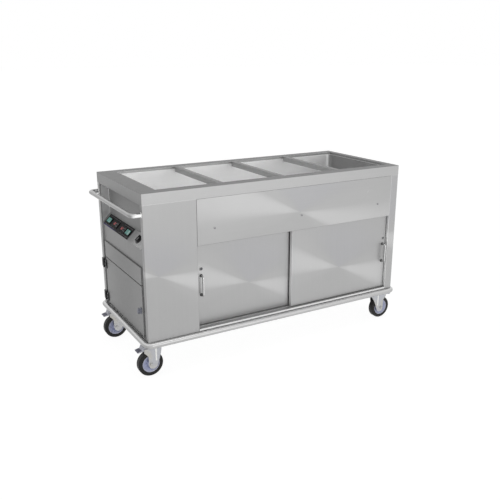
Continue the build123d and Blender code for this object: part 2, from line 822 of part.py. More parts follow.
def make_push_handle():
    """The push handle: a tube with two rounded corners, welded to the two corner posts."""
    near = post_width / 2
    far = body_depth - post_width / 2
    points = [at(0, near, handle_height), at(-handle_reach, near, handle_height)]
    points += [at(-handle_reach, far, handle_height), at(0, far, handle_height)]
    return bent_tube(FilletPolyline(*points, radius=handle_radius), handle_diameter / 2, handle_wall)


def make_bumper_tube():
    """A round tube that goes all round the chassis, with vent holes on its underside."""
    length = body_length + 2 * bumper_out
    depth = body_depth + 2 * bumper_out
    middle = Pos((left + right) / 2, 0, base - bumper_diameter / 2 - bumper_drop)
    path = (middle * RectangleRounded(length, depth, bumper_radius)).wire()
    tube = bent_tube(path, bumper_diameter / 2, bumper_wall)
    z = base - bumper_diameter - 5
    for x in (left + body_length * 0.25, left + body_length * 0.75):
        y = front - bumper_out
        tube -= rod((x, y, z), (x, y, z + bumper_diameter / 2), 2.5)
    return tube


def make_chassis_frame():
    """A ring of channel that is open inwards, with a plate across each corner for a castor."""
    inset = bumper_diameter / 2 - bumper_out
    low = base - chassis_height
    corner = bumper_radius - bumper_diameter / 2
    x0 = left + inset
    x1 = right - inset
    y0 = front + inset
    y1 = back - inset
    frame = block(x0, x1, y0, y1, low, base)
    frame = fillet(frame.edges().filter_by(Axis.Z), corner)
    wide = chassis_width
    frame -= block(x0 + wide, x1 - wide, y0 + wide, y1 - wide, low - 1, base + 1)
    wall = chassis_thickness
    hollow = block(x0 + wall, x1 - wall, y0 + wall, y1 - wall, low + wall, base - wall)
    frame -= fillet(hollow.edges().filter_by(Axis.Z), corner - wall)
    for x in (x0 + chassis_corner / 2, x1 - chassis_corner / 2):
        for y in (y0 + chassis_corner / 2, y1 - chassis_corner / 2):
            half = chassis_corner / 2 - wall
            frame += block(x - half, x + half, y - half, y + half, low, low + wall)
    return frame


def castor_places():
    """The four swivel axes: front left, rear left, front right, rear right."""
    places = []
    for x in (left + swivel_inset, right - swivel_inset):
        for y in (front + swivel_depth, back - swivel_depth):
            places.append((x, y))
    return places


def make_castor_plates():
    """Four top plates, each with its swivel race and a king pin that ends in a nut."""
    found = []
    for x, y in castor_places():
        plate = extrude(RectangleRounded(plate_length, plate_width, plate_radius), plate_thickness)
        for hole_x in (-plate_hole_length / 2, plate_hole_length / 2):
            for hole_y in (-plate_hole_width / 2, plate_hole_width / 2):
                plate -= Pos(hole_x, hole_y, -1) * extrude(Circle(plate_hole_radius), plate_thickness + 2)
        plate = Pos(x, y, castor_height - plate_thickness) * plate
        race_top = castor_height - plate_thickness
        race_low = race_top - race_height
        plate += rod((x, y, race_low), (x, y, race_top), race_radius)
        crown_low = race_low - seat_gap - fork_thickness
        nut_top = crown_low - seat_gap
        plate += rod((x, y, nut_top - king_nut), (x, y, race_low), king_pin_radius)
        nut = Pos(x, y, nut_top - king_nut) * extrude(RegularPolygon(king_nut_radius, 6), king_nut)
        plate += nut
        found += plate.solids()
    return Compound(children=found)


def make_fork():
    """A pressed fork round the wheel, closed at its nose, with its axle, as it trails towards +X."""
    wheel_z = wheel_diameter / 2
    crown_top = castor_height - plate_thickness - race_height - seat_gap
    crown_low = crown_top - fork_thickness
    nose = -fork_nose - fork_cheek
    rim = crown_low - fork_rim
    outline = Polyline((nose, rim), (fork_back, rim), (fork_back, crown_top), (nose, crown_top), close=True)
    end_x = castor_trail - fork_end_inset
    end = Pos(end_x, wheel_z - fork_end_drop) * Circle(fork_end_radius)
    leg = make_face(make_hull(outline.edges() + end.edges()))
    foot = end_x + fork_end_radius - 1
    housing = Polyline(
        (0, housing_top), (housing_back, housing_top), (housing_back, housing_low),
        (housing_back - 10, housing_low - 9), (foot, housing_foot), (0, housing_foot), close=True,
    )
    side = Plane(origin=(0, fork_cheek, 0), x_dir=(1, 0, 0), z_dir=(0, -1, 0))
    profile = side * extrude(leg + make_face(housing), 2 * fork_cheek)

    def plan(half_width, end, high):
        body = block(-fork_nose, end, -half_width, half_width, 0, high)
        return body + rod((-fork_nose, 0, 0), (-fork_nose, 0, high), half_width)

    fork = profile & plan(fork_cheek, housing_back, crown_top)
    fork -= plan(fork_cheek - fork_thickness, housing_back + 1, crown_low)
    inside = fork_cheek - fork_thickness
    start, stop = (castor_trail, -inside, wheel_z), (castor_trail, inside, wheel_z)
    fork -= rod(start, stop, wheel_diameter / 2 + wheel_gap)
    fork += rod((0, 0, crown_low), (0, 0, crown_top), race_radius)
    fork -= rod((0, 0, crown_low - 1), (0, 0, crown_top + 1), king_pin_radius + running_clearance)
    pin = (pedal_axis_back, pedal_axis_height)
    reach = fork_cheek + axle_head
    fork -= rod((pin[0], -reach, pin[1]), (pin[0], reach, pin[1]), pedal_pin_radius + running_clearance)
    fork -= rod((castor_trail, -reach, wheel_z), (castor_trail, reach, wheel_z), axle_radius)
    axle = rod((castor_trail, -reach, wheel_z), (castor_trail, reach, wheel_z), axle_radius)
    for low, high in ((-reach, -fork_cheek), (fork_cheek, reach)):
        axle += rod((castor_trail, low, wheel_z), (castor_trail, high, wheel_z), axle_head_radius)
    return fork, axle


def make_pedal():
    """A brake pedal on a pin through the fork: a folded plate between two side walls."""
    inner = pedal_reach - pedal_plate
    drop = pedal_plate * sin(radians(pedal_slope))
    half_width = fork_cheek - fork_thickness - hub_gap
    start = pedal_axis_back - pedal_end
    crown_low = castor_height - plate_thickness - race_height - seat_gap - fork_thickness
    ridge = [(fork_back + 2, crown_low - 2), (pedal_knee_back, pedal_knee_height)]
    ridge += [(inner, pedal_plate_height), (pedal_reach, pedal_plate_height - drop)]
    side = Plane(origin=(0, half_width, 0), x_dir=(1, 0, 0), z_dir=(0, -1, 0))
    strip = folded_section(ridge, Side.RIGHT, pedal_thickness)
    pedal = side * extrude(strip, 2 * half_width)
    low = pedal_axis_height - pedal_end
    wall = [(start, low), (start, crown_low - 2)] + ridge
    wall += [(pedal_reach, pedal_plate_height - drop - 5), (inner, pedal_plate_height - 8)]
    wall_face = make_face(Polyline(*wall, close=True))
    pedal += side * extrude(wall_face, pedal_thickness)
    other = Plane(origin=(0, pedal_thickness - half_width, 0), x_dir=(1, 0, 0), z_dir=(0, -1, 0))
    pedal += other * extrude(wall_face, pedal_thickness)
    end = fork_cheek - seat_gap
    z = pedal_axis_height
    return pedal + rod((pedal_axis_back, -end, z), (pedal_axis_back, end, z), pedal_pin_radius)


def make_castors():
    """Four swivel castors that trail towards the cabinet's nearer end: fork, hub, tyre and pedal."""
    axis = Plane(origin=(castor_trail, 0, wheel_diameter / 2), x_dir=(1, 0, 0), z_dir=(0, -1, 0))
    side = wheel_width / 2
    shoulder = wheel_diameter / 2 - tyre_shoulder
    tyre_section = [
        (hub_radius, -side), (shoulder, -side), (wheel_diameter / 2, tyre_shoulder - side),
        (wheel_diameter / 2, side - tyre_shoulder), (shoulder, side), (hub_radius, side),
    ]
    bore = axle_radius + running_clearance
    rim = rim_width / 2
    web = web_thickness / 2
    boss = boss_length / 2
    dish = hub_radius - rim_thickness
    hub_section = [
        (bore, -boss), (boss_radius, -boss), (boss_radius, -web), (dish, -rim), (hub_radius, -rim),
        (hub_radius, rim), (dish, rim), (boss_radius, web), (boss_radius, boss), (bore, boss),
    ]
    fork, axle = make_fork()
    pedal = make_pedal()
    tyre = axis * turned(tyre_section)
    hub = axis * turned(hub_section)
    for name, (x, y) in zip(castor_names, castor_places()):
        place = Pos(x, y, 0) * Rot(0, 0, 180 if "left" in name else 0)
        parts[name + "_fork"] = Compound(children=(place * fork).solids() + (place * axle).solids())
        parts[name + "_hub"] = place * hub
        parts[name + "_tyre"] = place * tyre
        parts[name + "_pedal"] = place * pedal


def turned(section):
    """A body turned about Z from a section of radius and height."""
    plane = Plane(origin=(0, 0, 0), x_dir=(1, 0, 0), z_dir=(0, -1, 0))
    return revolve(plane * make_face(Polyline(*section, close=True)), Axis.Z)


def make_well_heater():
    """A tubular element that runs to and fro under the well, with both ends at the left."""
    z = well_bottom - heater_diameter / 2 - seat_gap
    pitch = (heater_back - heater_front) / (heater_passes - 1)
    tail = left + panel_width - heater_tail
    near = left + tray_left + tray_wall + heater_margin + pitch / 2
    far = left + tray_right - tray_wall - heater_margin - pitch / 2
    path = []
    for number in range(heater_passes):
        y = front + heater_front + number * pitch
        start = near if 0 < number < heater_passes - 1 else tail
        ends = [(start, y, z), (far, y, z)]
        if number % 2:
            ends.reverse()
        path.append(Line(*ends))
        if number < heater_passes - 1:
            turn_x = far if number % 2 == 0 else near
            swell = pitch / 2 if number % 2 == 0 else -pitch / 2
            bow = (turn_x + swell, y + pitch / 2, z)
            path.append(ThreePointArc((turn_x, y, z), bow, (turn_x, y + pitch, z)))
    return bent_tube(Wire(path), heater_diameter / 2, 0)


def make_heater_tray():
    """The tray under the well that holds the element and closes the cupboard's ceiling."""
    low = well_bottom - tray_depth
    edges = (left + tray_left, left + tray_right, front + tray_front, front + tray_back)
    x0, x1, y0, y1 = edges
    tray = block(x0, x1, y0, y1, low, well_bottom)
    tray -= block(x0 + tray_wall, x1 - tray_wall, y0 + tray_wall, y1 - tray_wall, low + tray_wall,
                  well_bottom + 1)
    z = well_bottom - heater_diameter / 2 - seat_gap
    for y in (front + heater_front, front + heater_back):
        notch = heater_diameter / 2 + seat_gap
        tray -= rod((x0 - 5, y, z), (x0 + 5, y, z), notch)
        tray -= block(x0 - 5, x0 + 5, y - notch, y + notch, z, well_bottom + 1)
    return tray


def make_cupboard_heater():
    """A hairpin element low along the cupboard's back, with its plate on the partition."""
    y = front + cupboard_heater_back
    low = base + cupboard_heater_low
    high = low + cupboard_heater_pitch
    x0 = left + panel_width - sheet - heater_tail
    x1 = left + cupboard_heater_right
    middle = (low + high) / 2
    bow = ThreePointArc((x1, y, low), (x1 + cupboard_heater_pitch / 2, y, middle), (x1, y, high))
    path = Wire([Line((x0, y, low), (x1, y, low)), bow, Line((x1, y, high), (x0, y, high))])
    element = bent_tube(path, heater_diameter / 2, 0)
    half = heater_plate / 2
    return element + block(left + panel_width, left + panel_width + 3, y - half / 2, y + half / 2,
                           middle - half, middle + half)


def drain_point(z):
    """A place on the drain's axis at a height."""
    return (left + drain_place, front + drain_back, z)


def make_drain():
    """The drain under the well: a flanged pipe, a ball valve, and a pipe to below the floor."""
    valve_middle = base + valve_height
    valve_top = valve_middle + valve_length / 2
    valve_low = valve_middle - valve_length / 2
    inner = drain_radius - drain_wall
    upper = ring(drain_point(valve_top - valve_socket), drain_point(well_bottom), drain_radius, inner)
    flange_low = drain_point(well_bottom - drain_flange_height)
    upper += ring(flange_low, drain_point(well_bottom), drain_radius + drain_flange, inner)
    lower = ring(drain_point(base - drain_below), drain_point(valve_low + valve_socket), drain_radius, inner)
    collar = base - collar_height
    lower += ring(drain_point(collar), drain_point(base + 1), drain_radius + collar_thickness, inner)
    parts["drain_pipe"] = Compound(children=upper.solids() + lower.solids())
    body = rod(drain_point(valve_middle - 18), drain_point(valve_middle + 18), valve_radius)
    body = chamfer(body.edges().filter_by(GeomType.CIRCLE), 4)
    for low in (valve_low, valve_top - 14):
        bottom = Vector(*drain_point(low))
        body += Plane(origin=bottom, z_dir=(0, 0, 1)) * extrude(RegularPolygon(valve_end_radius + 1, 6), 14)
    socket = drain_radius + running_clearance
    body -= rod(drain_point(valve_low - 1), drain_point(valve_low + valve_socket), socket)
    body -= rod(drain_point(valve_top - valve_socket), drain_point(valve_top + 1), socket)
    middle = Vector(*drain_point(valve_middle))
    stem_start = middle - Vector(valve_radius - 2, 0, 0)
    stem_end = middle - Vector(valve_radius + valve_stem, 0, 0)
    body += rod(stem_start, stem_end, valve_stem_radius)
    parts["drain_valve"] = body
    x1 = stem_end.X + 6
    x0 = x1 - lever_thickness
    half = lever_width / 2
    lever = block(x0, x1, middle.Y - lever_length, middle.Y + half, middle.Z - half, middle.Z + half)
    lever = fillet(lever.edges().filter_by(Axis.X), half - 1)
    parts["drain_valve_lever"] = lever - rod(stem_start, stem_end, valve_stem_radius + running_clearance)


def make_terminal_box():
    """The box for the mains connections on the partition, and the cable gland in the floor."""
    x1 = panel_width - sheet
    x0 = x1 - box_length
    box = local_block(x0, x1, box_front, box_front + box_depth, box_up, box_up + box_height)
    box = chamfer(box.faces().sort_by(Axis.X)[0].edges() + box.edges().filter_by(Axis.X), 3)
    x, y = gland_place()
    floor_low = base + door_sill - sheet
    floor_high = base + door_sill
    gland = rod((x, y, floor_low), (x, y, floor_high), gland_radius)
    gland += Pos(x, y, floor_high) * extrude(RegularPolygon(gland_radius + 5, 6), 5)
    gland += Pos(x, y, floor_low - 5) * extrude(RegularPolygon(gland_radius + 5, 6), 5)
    gland += Pos(x, y, floor_low - 5) * extrude(Circle(gland_radius), -gland_height, taper=15)
    gland -= rod((x, y, floor_low - 2 * gland_height), (x, y, floor_high + gland_height), gland_radius / 2)
    return Compound(children=box.solids() + gland.solids())


parts["top_frame"] = make_top_frame()
parts["well_tank"] = make_well_tank()
make_divider_bars()
parts["front_left_panel"] = make_front_left_panel()
parts["right_end_panel"] = make_right_end_panel()
parts["rear_panel"] = make_rear_panel()
parts["apron_panel"] = make_apron_panel()
parts["left_end_panel"] = make_left_end_panel()
make_left_end_covers()
make_service_hinges()
parts["service_door_latch"] = make_service_latch()
parts["control_niche"] = make_control_niche()
make_control_panel()
parts["thermostats"] = make_thermostats()
make_switches()
parts["main_switch_knob"] = make_main_switch_knob()
parts["floor_pan"] = make_floor_pan()
make_tracks()
parts["partition"] = make_partition()
make_door("left_door", left_door_left, left_door_right, rear_door_face, opening_left, left_lock_x)
make_door("right_door", right_door_left, right_door_right, front_door_face, opening_right, right_lock_x)
parts["push_handle"] = make_push_handle()
parts["bumper_tube"] = make_bumper_tube()
parts["chassis_frame"] = make_chassis_frame()
parts["castor_plates"] = make_castor_plates()
make_castors()
parts["well_heater"] = make_well_heater()
parts["heater_tray"] = make_heater_tray()
parts["cupboard_heater"] = make_cupboard_heater()
make_drain()
parts["terminal_box"] = make_terminal_box()

os.makedirs("parts", exist_ok=True)
for name, shape in parts.items():
    export_step(shape, f"parts/{name}.step")
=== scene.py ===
import bmesh
import bpy
import math
from mathutils import Matrix, Vector


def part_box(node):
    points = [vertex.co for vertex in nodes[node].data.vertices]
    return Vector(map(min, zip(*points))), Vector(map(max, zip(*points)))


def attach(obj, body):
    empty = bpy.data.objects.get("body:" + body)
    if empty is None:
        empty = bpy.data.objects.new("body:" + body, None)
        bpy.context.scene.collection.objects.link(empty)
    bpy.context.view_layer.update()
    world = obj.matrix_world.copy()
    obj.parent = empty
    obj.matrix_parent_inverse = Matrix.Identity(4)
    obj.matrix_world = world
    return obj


# A mobile bain marie in brushed stainless steel, seen from its front left.
# The frame is the CAD model's: metres, +Z up, the front faces -Y. Places given to at() and
# sizes given to the shapes are millimetres.

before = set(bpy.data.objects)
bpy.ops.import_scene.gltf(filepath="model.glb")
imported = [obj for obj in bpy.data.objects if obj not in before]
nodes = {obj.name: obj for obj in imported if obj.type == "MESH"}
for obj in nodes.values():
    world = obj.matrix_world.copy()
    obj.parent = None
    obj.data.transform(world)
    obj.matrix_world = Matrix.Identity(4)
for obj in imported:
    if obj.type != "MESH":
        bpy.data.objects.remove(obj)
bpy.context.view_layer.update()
corner = Vector(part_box("front_left_panel")[0])

# Camera, from the cabinet's lower front left corner
camera_offset = (-0.96407, -2.60992, 1.3065)
camera_turn = (72.833, 0.0, -30.158)
camera_lens = 45.97

# Light: the level of the surround, and lamps as place, target, size in metres and watts
surround_level = 0.40
lamps = {
    "key_front": ((1.2, -6.0, 0.35), (0.0, 0.0, 0.45), 5.0, 78.0),
    "fill_left": ((-5.0, -1.5, 3.0), (0.0, 0.0, 0.5), 3.0, 12.0),
    "top": ((0.2, -0.6, 4.5), (0.2, 0.3, 0.7), 2.5, 22.0),
}

# Steel: painted shade, the levels painted on its front, left, top and other faces so that each side is
# lighter or darker as light falls on it
front_sheet = (0.44, 0.29, 0.30, 0.40)
door_sheet = (0.44, 0.85, 0.30, 0.40)
end_sheet = (0.40, 0.185, 0.185, 0.34)
panel_sheet = (0.40, 0.115, 0.18, 0.34)
post_sheet = (0.42, 0.225, 0.30, 0.40)
rear_sheet = (0.44, 0.33, 0.30, 0.40)
niche_sheet = (0.85, 0.205, 0.30, 0.60)
rim_sheet = (0.475, 0.24, 0.122, 0.40)
bar_sheet = (0.55, 0.38, 0.145, 0.50)
well_sheet = (0.98, 0.26, 0.94, 0.92)
bumper_tube = (0.50, 0.38, 0.62, 0.20)
handle_tube = (0.95, 0.30, 0.44, 0.22)
frame_sheet = (0.62, 0.50, 0.62, 0.45)
sill_sheet = (0.95, 0.50, 0.38, 0.60)
inside_sheet = (0.60, 0.60, 0.60, 0.60)
bow_tube = (0.75, 0.35, 0.60, 0.50)

# Cabinet sizes that the pieces follow
body_depth = 640
post_middle = 12.5
handle_height = 617
handle_radius = 10.9
apron_screws = (359, 859, 1363)
apron_screw_height = 513
hinge_heights = (40.5, 226.5)
hinge_screw_spread = 16
hinge_leaves = {"trolley": (628, -4), "service_door": (585, -2)}
door_faces = {"left_door": (304, 46), "right_door": (1432, 18)}
bow_feet = (170, 270)
bow_radius = 4.6
lock_height = 305
lock_radius = 8.3
lock_top = 2.4

# The control niche: its slope, foil, thermostats, rockers and knob
niche_depth = 52
slope_bottom = 446
slope_rise = 51
foil_surface = 0.8
foil_black_end = 232
thermostat_places = (450, 343)
bezel_top = 3.8
window_floor = 2.8
window_middle = -11.5
window_length = 40
window_width = 18
rocker_places = {"rear_rocker": 540, "front_rocker": 265}
rocker_top = 3.3
rocker_dip = 2.2
rocker_rise = 5.0
rocker_run = 17
rocker_pin = -1.7
rocker_tilt = 8
knob_place = 125
knob_plate_top = 12.2
knob_wing_top = 17.0
knob_skirt_radius = 19.8

# Inside: the well's outlet, the heating elements' ends, the terminal box and the drain valve
well_outlet = (150, 330, 500)
well_element_ends = [(242, y, 493.95) for y in (110, 560)]
cupboard_element_ends = [(240.5, 598, z) for z in (60, 110)]
terminal_box_middle = (205, 210, 175)
terminal_screw_spread = (50, 35)
valve_stem = (118, 330, 150)

# Castors: places of the swivel axes and the way each trails, then sizes from the swivel axis
castor_places = {
    "front_left": (50, 64, -1),
    "rear_left": (50, 576, -1),
    "front_right": (1450, 64, 1),
    "rear_right": (1450, 576, 1),
}
castor_trail = 24
wheel_radius = 63.5
fork_cheek = 22
race_radius = 28.0
race_heights = (161.0, 165.0)
plate_underside = 167
plate_bolt_spread = (30, 40)
pedal_pin = (31, 146)
pedal_bend = (69, 144)
pedal_run = 21
pedal_slope = 13.5
pedal_width = 37.4


def at(x, y, z):
    """A place counted from the cabinet's left end, front face and underside."""
    return corner + Vector((x, y, z)) / 1000


def surface(origin, outward, across):
    """A frame on a surface, with z outward and x across it."""
    z = Vector(outward).normalized()
    x = Vector(across).normalized()
    matrix = Matrix((x, z.cross(x), z)).transposed().to_4x4()
    matrix.translation = origin
    return matrix


def shifted(place, x, y, z=0.0):
    """A frame moved along its own axes."""
    return place @ Matrix.Translation(Vector((x, y, z)) / 1000)


def slope(y):
    """A frame on the sloped control panel: x towards the front, y up the slope."""
    angle = math.atan2(slope_rise, niche_depth)
    middle = at(niche_depth / 2, y, slope_bottom + slope_rise / 2)
    return surface(middle, (-math.sin(angle), 0, math.cos(angle)), (0, -1, 0))


def facing_left(x, y, z):
    """A frame on a surface that faces left, with x towards the rear and y down."""
    return surface(at(x, y, z), (-1, 0, 0), (0, 1, 0))


def facing_front(x, y, z):
    """A frame on a surface that faces the front, with x to the right and y up."""
    return surface(at(x, y, z), (0, -1, 0), (1, 0, 0))


# Mesh building
class Shape:
    """A mesh that is built up from turned and extruded forms."""

    def __init__(self):
        self.mesh = bmesh.new()

    def point(self, place, x, y, z):
        return self.mesh.verts.new(place @ (Vector((x, y, z)) / 1000))

    def turned(self, place, profile, sides=24, closed=False):
        """A body turned about a frame's z axis, from points of radius and height."""
        rings = []
        angles = [2 * math.pi * step / sides for step in range(sides)]
        for radius, height in profile:
            if radius == 0:
                rings.append([self.point(place, 0, 0, height)])
                continue
            circle = [(radius * math.cos(angle), radius * math.sin(angle)) for angle in angles]
            rings.append([self.point(place, x, y, height) for x, y in circle])
        pairs = list(zip(rings, rings[1:]))
        if closed:
            pairs.append((rings[-1], rings[0]))
        for first, second in pairs:
            for step in range(sides):
                after = (step + 1) % sides
                corners = [first[step % len(first)], first[after % len(first)]]
                corners += [second[after % len(second)], second[step % len(second)]]
                unique = list(dict.fromkeys(corners))
                self.mesh.faces.new(unique)
        return self

    def disc(self, place, radius, low, high, sides=20):
        """A flat disc between two heights."""
        return self.turned(place, [(0, low), (radius, low), (radius, high), (0, high)], sides)

    def ring(self, place, inner, outer, low, high, sides=32):
        """A flat ring between two heights."""
        profile = [(inner, low), (outer, low), (outer, high), (inner, high)]
        return self.turned(place, profile, sides, closed=True)

    def prism(self, place, outline, low, high):
        """A flat outline made thick between two heights."""
        lower = [self.point(place, x, y, low) for x, y in outline]
        upper = [self.point(place, x, y, high) for x, y in outline]
        self.mesh.faces.new(lower[::-1])
        self.mesh.faces.new(upper)
        count = len(outline)
        for step in range(count):
            after = (step + 1) % count
            self.mesh.faces.new([lower[step], lower[after], upper[after], upper[step]])
        return self

    def bar(self, place, x, y, length, width, low, high, corner_radius=0.0):
        """A raised bar round a middle, with rounded corners in plan."""
        return self.prism(place, rounded(x, y, length, width, corner_radius), low, high)

    def band(self, place, path, width, low, high):
        """A raised line of one width that follows a path."""
        for (x0, y0), (x1, y1) in zip(path, path[1:]):
            across = Vector((y0 - y1, x1 - x0)).normalized() * (width / 2)
            outline = [(x0 + across.x, y0 + across.y), (x0 - across.x, y0 - across.y)]
            outline += [(x1 - across.x, y1 - across.y), (x1 + across.x, y1 + across.y)]
            self.prism(place, outline, low, high)
        return self

    def piece(self, name, material, body, bevel=0.0):
        """The finished object, on a body of the frame."""
        bmesh.ops.recalc_face_normals(self.mesh, faces=self.mesh.faces)
        for face in self.mesh.faces:
            face.smooth = True
        for edge in self.mesh.edges:
            if len(edge.link_faces) != 2 or edge.calc_face_angle(0.0) > math.radians(32):
                edge.smooth = False
        mesh = bpy.data.meshes.new(name)
        self.mesh.to_mesh(mesh)
        self.mesh.free()
        mesh.materials.append(material)
        made = bpy.data.objects.new(name, mesh)
        bpy.context.scene.collection.objects.link(made)
        if bevel:
            rounding = made.modifiers.new("rounding", "BEVEL")
            rounding.width = bevel / 1000
            rounding.segments = 2
            rounding.limit_method = "ANGLE"
        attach(made, body)
        return made


def rounded(x, y, length, width, radius):
    """A rectangle's outline round a middle, with each corner turned in four steps."""
    steps = 4
    outline = []
    for side_x, side_y, start in ((1, 1, 0), (-1, 1, 90), (-1, -1, 180), (1, -1, 270)):
        middle_x = x + side_x * (length / 2 - radius)
        middle_y = y + side_y * (width / 2 - radius)
        if not radius:
            outline.append((middle_x, middle_y))
            continue
        for step in range(steps + 1):
            angle = math.radians(start + step * 90 / steps)
            outline.append((middle_x + radius * math.cos(angle), middle_y + radius * math.sin(angle)))
    return outline


def hexagon(radius, turn=0.0):
    """A hexagon's outline."""
    angles = [math.radians(turn + 60 * step) for step in range(6)]
    return [(radius * math.cos(angle), radius * math.sin(angle)) for angle in angles]


# Node graphs
class Graph:
    """A material's node tree, with short ways to add and join its nodes."""

    def __init__(self, name):
        self.material = bpy.data.materials.new(name)
        self.material.use_nodes = True
        self.tree = self.material.node_tree
        self.shader = self.tree.nodes["Principled BSDF"]
        self.output = self.tree.nodes["Material Output"]
        places = self.add("ShaderNodeTexCoord")
        self.coordinates = places.outputs["Object"]
        self.normals = places.outputs["Normal"]

    def add(self, kind, **settings):
        node = self.tree.nodes.new(kind)
        for key, value in settings.items():
            setattr(node, key, value)
        return node

    def join(self, source, target):
        self.tree.links.new(source, target)

    def feed(self, socket, value):
        """Links a socket to another, or sets its number."""
        if isinstance(value, bpy.types.NodeSocket):
            self.join(value, socket)
        else:
            socket.default_value = value

    def maths(self, operation, first, second=0.0, third=0.0):
        node = self.add("ShaderNodeMath", operation=operation)
        for socket, value in zip(node.inputs, (first, second, third)):
            self.feed(socket, value)
        return node.outputs[0]

    def noise(self, scale, stretch=(1, 1, 1), detail=3.0, roughness=0.55):
        """Noise from 0 to 1, stretched along some axes of the object."""
        mapping = self.add("ShaderNodeMapping")
        self.join(self.coordinates, mapping.inputs["Vector"])
        mapping.inputs["Scale"].default_value = stretch
        node = self.add("ShaderNodeTexNoise")
        self.join(mapping.outputs[0], node.inputs["Vector"])
        node.inputs["Scale"].default_value = scale
        node.inputs["Detail"].default_value = detail
        node.inputs["Roughness"].default_value = roughness
        return node.outputs["Fac"]

    def varied(self, value, amount, base=1.0):
        """A base with a noise from 0 to 1 added about its middle."""
        centred = self.maths("SUBTRACT", value, 0.5)
        return self.maths("MULTIPLY_ADD", centred, amount, base)

    def span(self, value, low, high, start=0.0, end=1.0):
        """A value taken from one range to another, held at its ends."""
        node = self.add("ShaderNodeMapRange", interpolation_type="SMOOTHSTEP")
        for name, number in (("Value", value), ("From Min", low), ("From Max", high),
                             ("To Min", start), ("To Max", end)):
            self.feed(node.inputs[name], number)
        return node.outputs[0]

    def blend(self, factor, first, second):
        """One colour into another."""
        node = self.add("ShaderNodeMix", data_type="RGBA")
        self.feed(node.inputs[0], factor)
        self.feed(node.inputs[6], first)
        self.feed(node.inputs[7], second)
        return node.outputs[2]

    def tinted(self, colour, amount):
        """A colour made darker or lighter by a number about 1."""
        node = self.add("ShaderNodeVectorMath", operation="SCALE")
        if isinstance(colour, bpy.types.NodeSocket):
            self.join(colour, node.inputs[0])
        else:
            node.inputs[0].default_value = colour[:3]
        self.feed(node.inputs["Scale"], amount)
        return node.outputs[0]

    def axes(self, vector=None):
        node = self.add("ShaderNodeSeparateXYZ")
        self.join(vector or self.coordinates, node.inputs[0])
        return node.outputs

    def toward(self, mask, level, other):
        """A level taken towards another by a mask from 0 to 1."""
        change = self.maths("SUBTRACT", other, level)
        return self.maths("MULTIPLY_ADD", change, mask, level)

    def sides(self, front, left, top, others):
        """Painted shade: a level for faces that look to the front, to the left, upwards and elsewhere.
        """
        x, y, z = self.axes(self.normals)
        level = self.span(y, -0.8, -0.3, front, others)
        level = self.toward(self.span(x, -0.8, -0.3, 1.0, 0.0), level, left)
        return self.toward(self.span(z, 0.3, 0.8), level, top)

    def edges(self, radius):
        """A mask of the edges, from how far their rounding turns the surface."""
        true = self.add("ShaderNodeNewGeometry").outputs["True Normal"]
        node = self.add("ShaderNodeVectorMath", operation="DOT_PRODUCT")
        self.join(self.soft_edges(radius), node.inputs[0])
        self.join(true, node.inputs[1])
        return self.span(node.outputs["Value"], 0.75, 0.99, 1.0, 0.0)

    def along(self, place, axis):
        """How far a point lies along one axis of a frame, in metres."""
        offset = self.add("ShaderNodeVectorMath", operation="SUBTRACT")
        self.join(self.coordinates, offset.inputs[0])
        offset.inputs[1].default_value = place.translation
        node = self.add("ShaderNodeVectorMath", operation="DOT_PRODUCT")
        self.join(offset.outputs[0], node.inputs[0])
        node.inputs[1].default_value = place.to_3x3().col[axis]
        return node.outputs["Value"]

    def bump(self, height, distance, strength=1.0, normal=None):
        node = self.add("ShaderNodeBump")
        node.inputs["Distance"].default_value = distance
        node.inputs["Strength"].default_value = strength
        self.join(height, node.inputs["Height"])
        if normal:
            self.join(normal, node.inputs["Normal"])
        return node.outputs[0]

    def soft_edges(self, radius):
        """Shading normals that round every edge a little."""
        node = self.add("ShaderNodeBevel", samples=4)
        node.inputs["Radius"].default_value = radius
        return node.outputs[0]

    def finish(self, colour, roughness, normal, metallic=0.0, coat=0.0):
        """Joins the three textured inputs and returns the material."""
        self.feed(self.shader.inputs["Base Color"], colour)
        self.feed(self.shader.inputs["Roughness"], roughness)
        self.join(normal, self.shader.inputs["Normal"])
        self.shader.inputs["Metallic"].default_value = metallic
        self.shader.inputs["Coat Weight"].default_value = coat
        return self.material


def grey(level):
    """A neutral colour at a linear level."""
    return (level, level, level, 1.0)


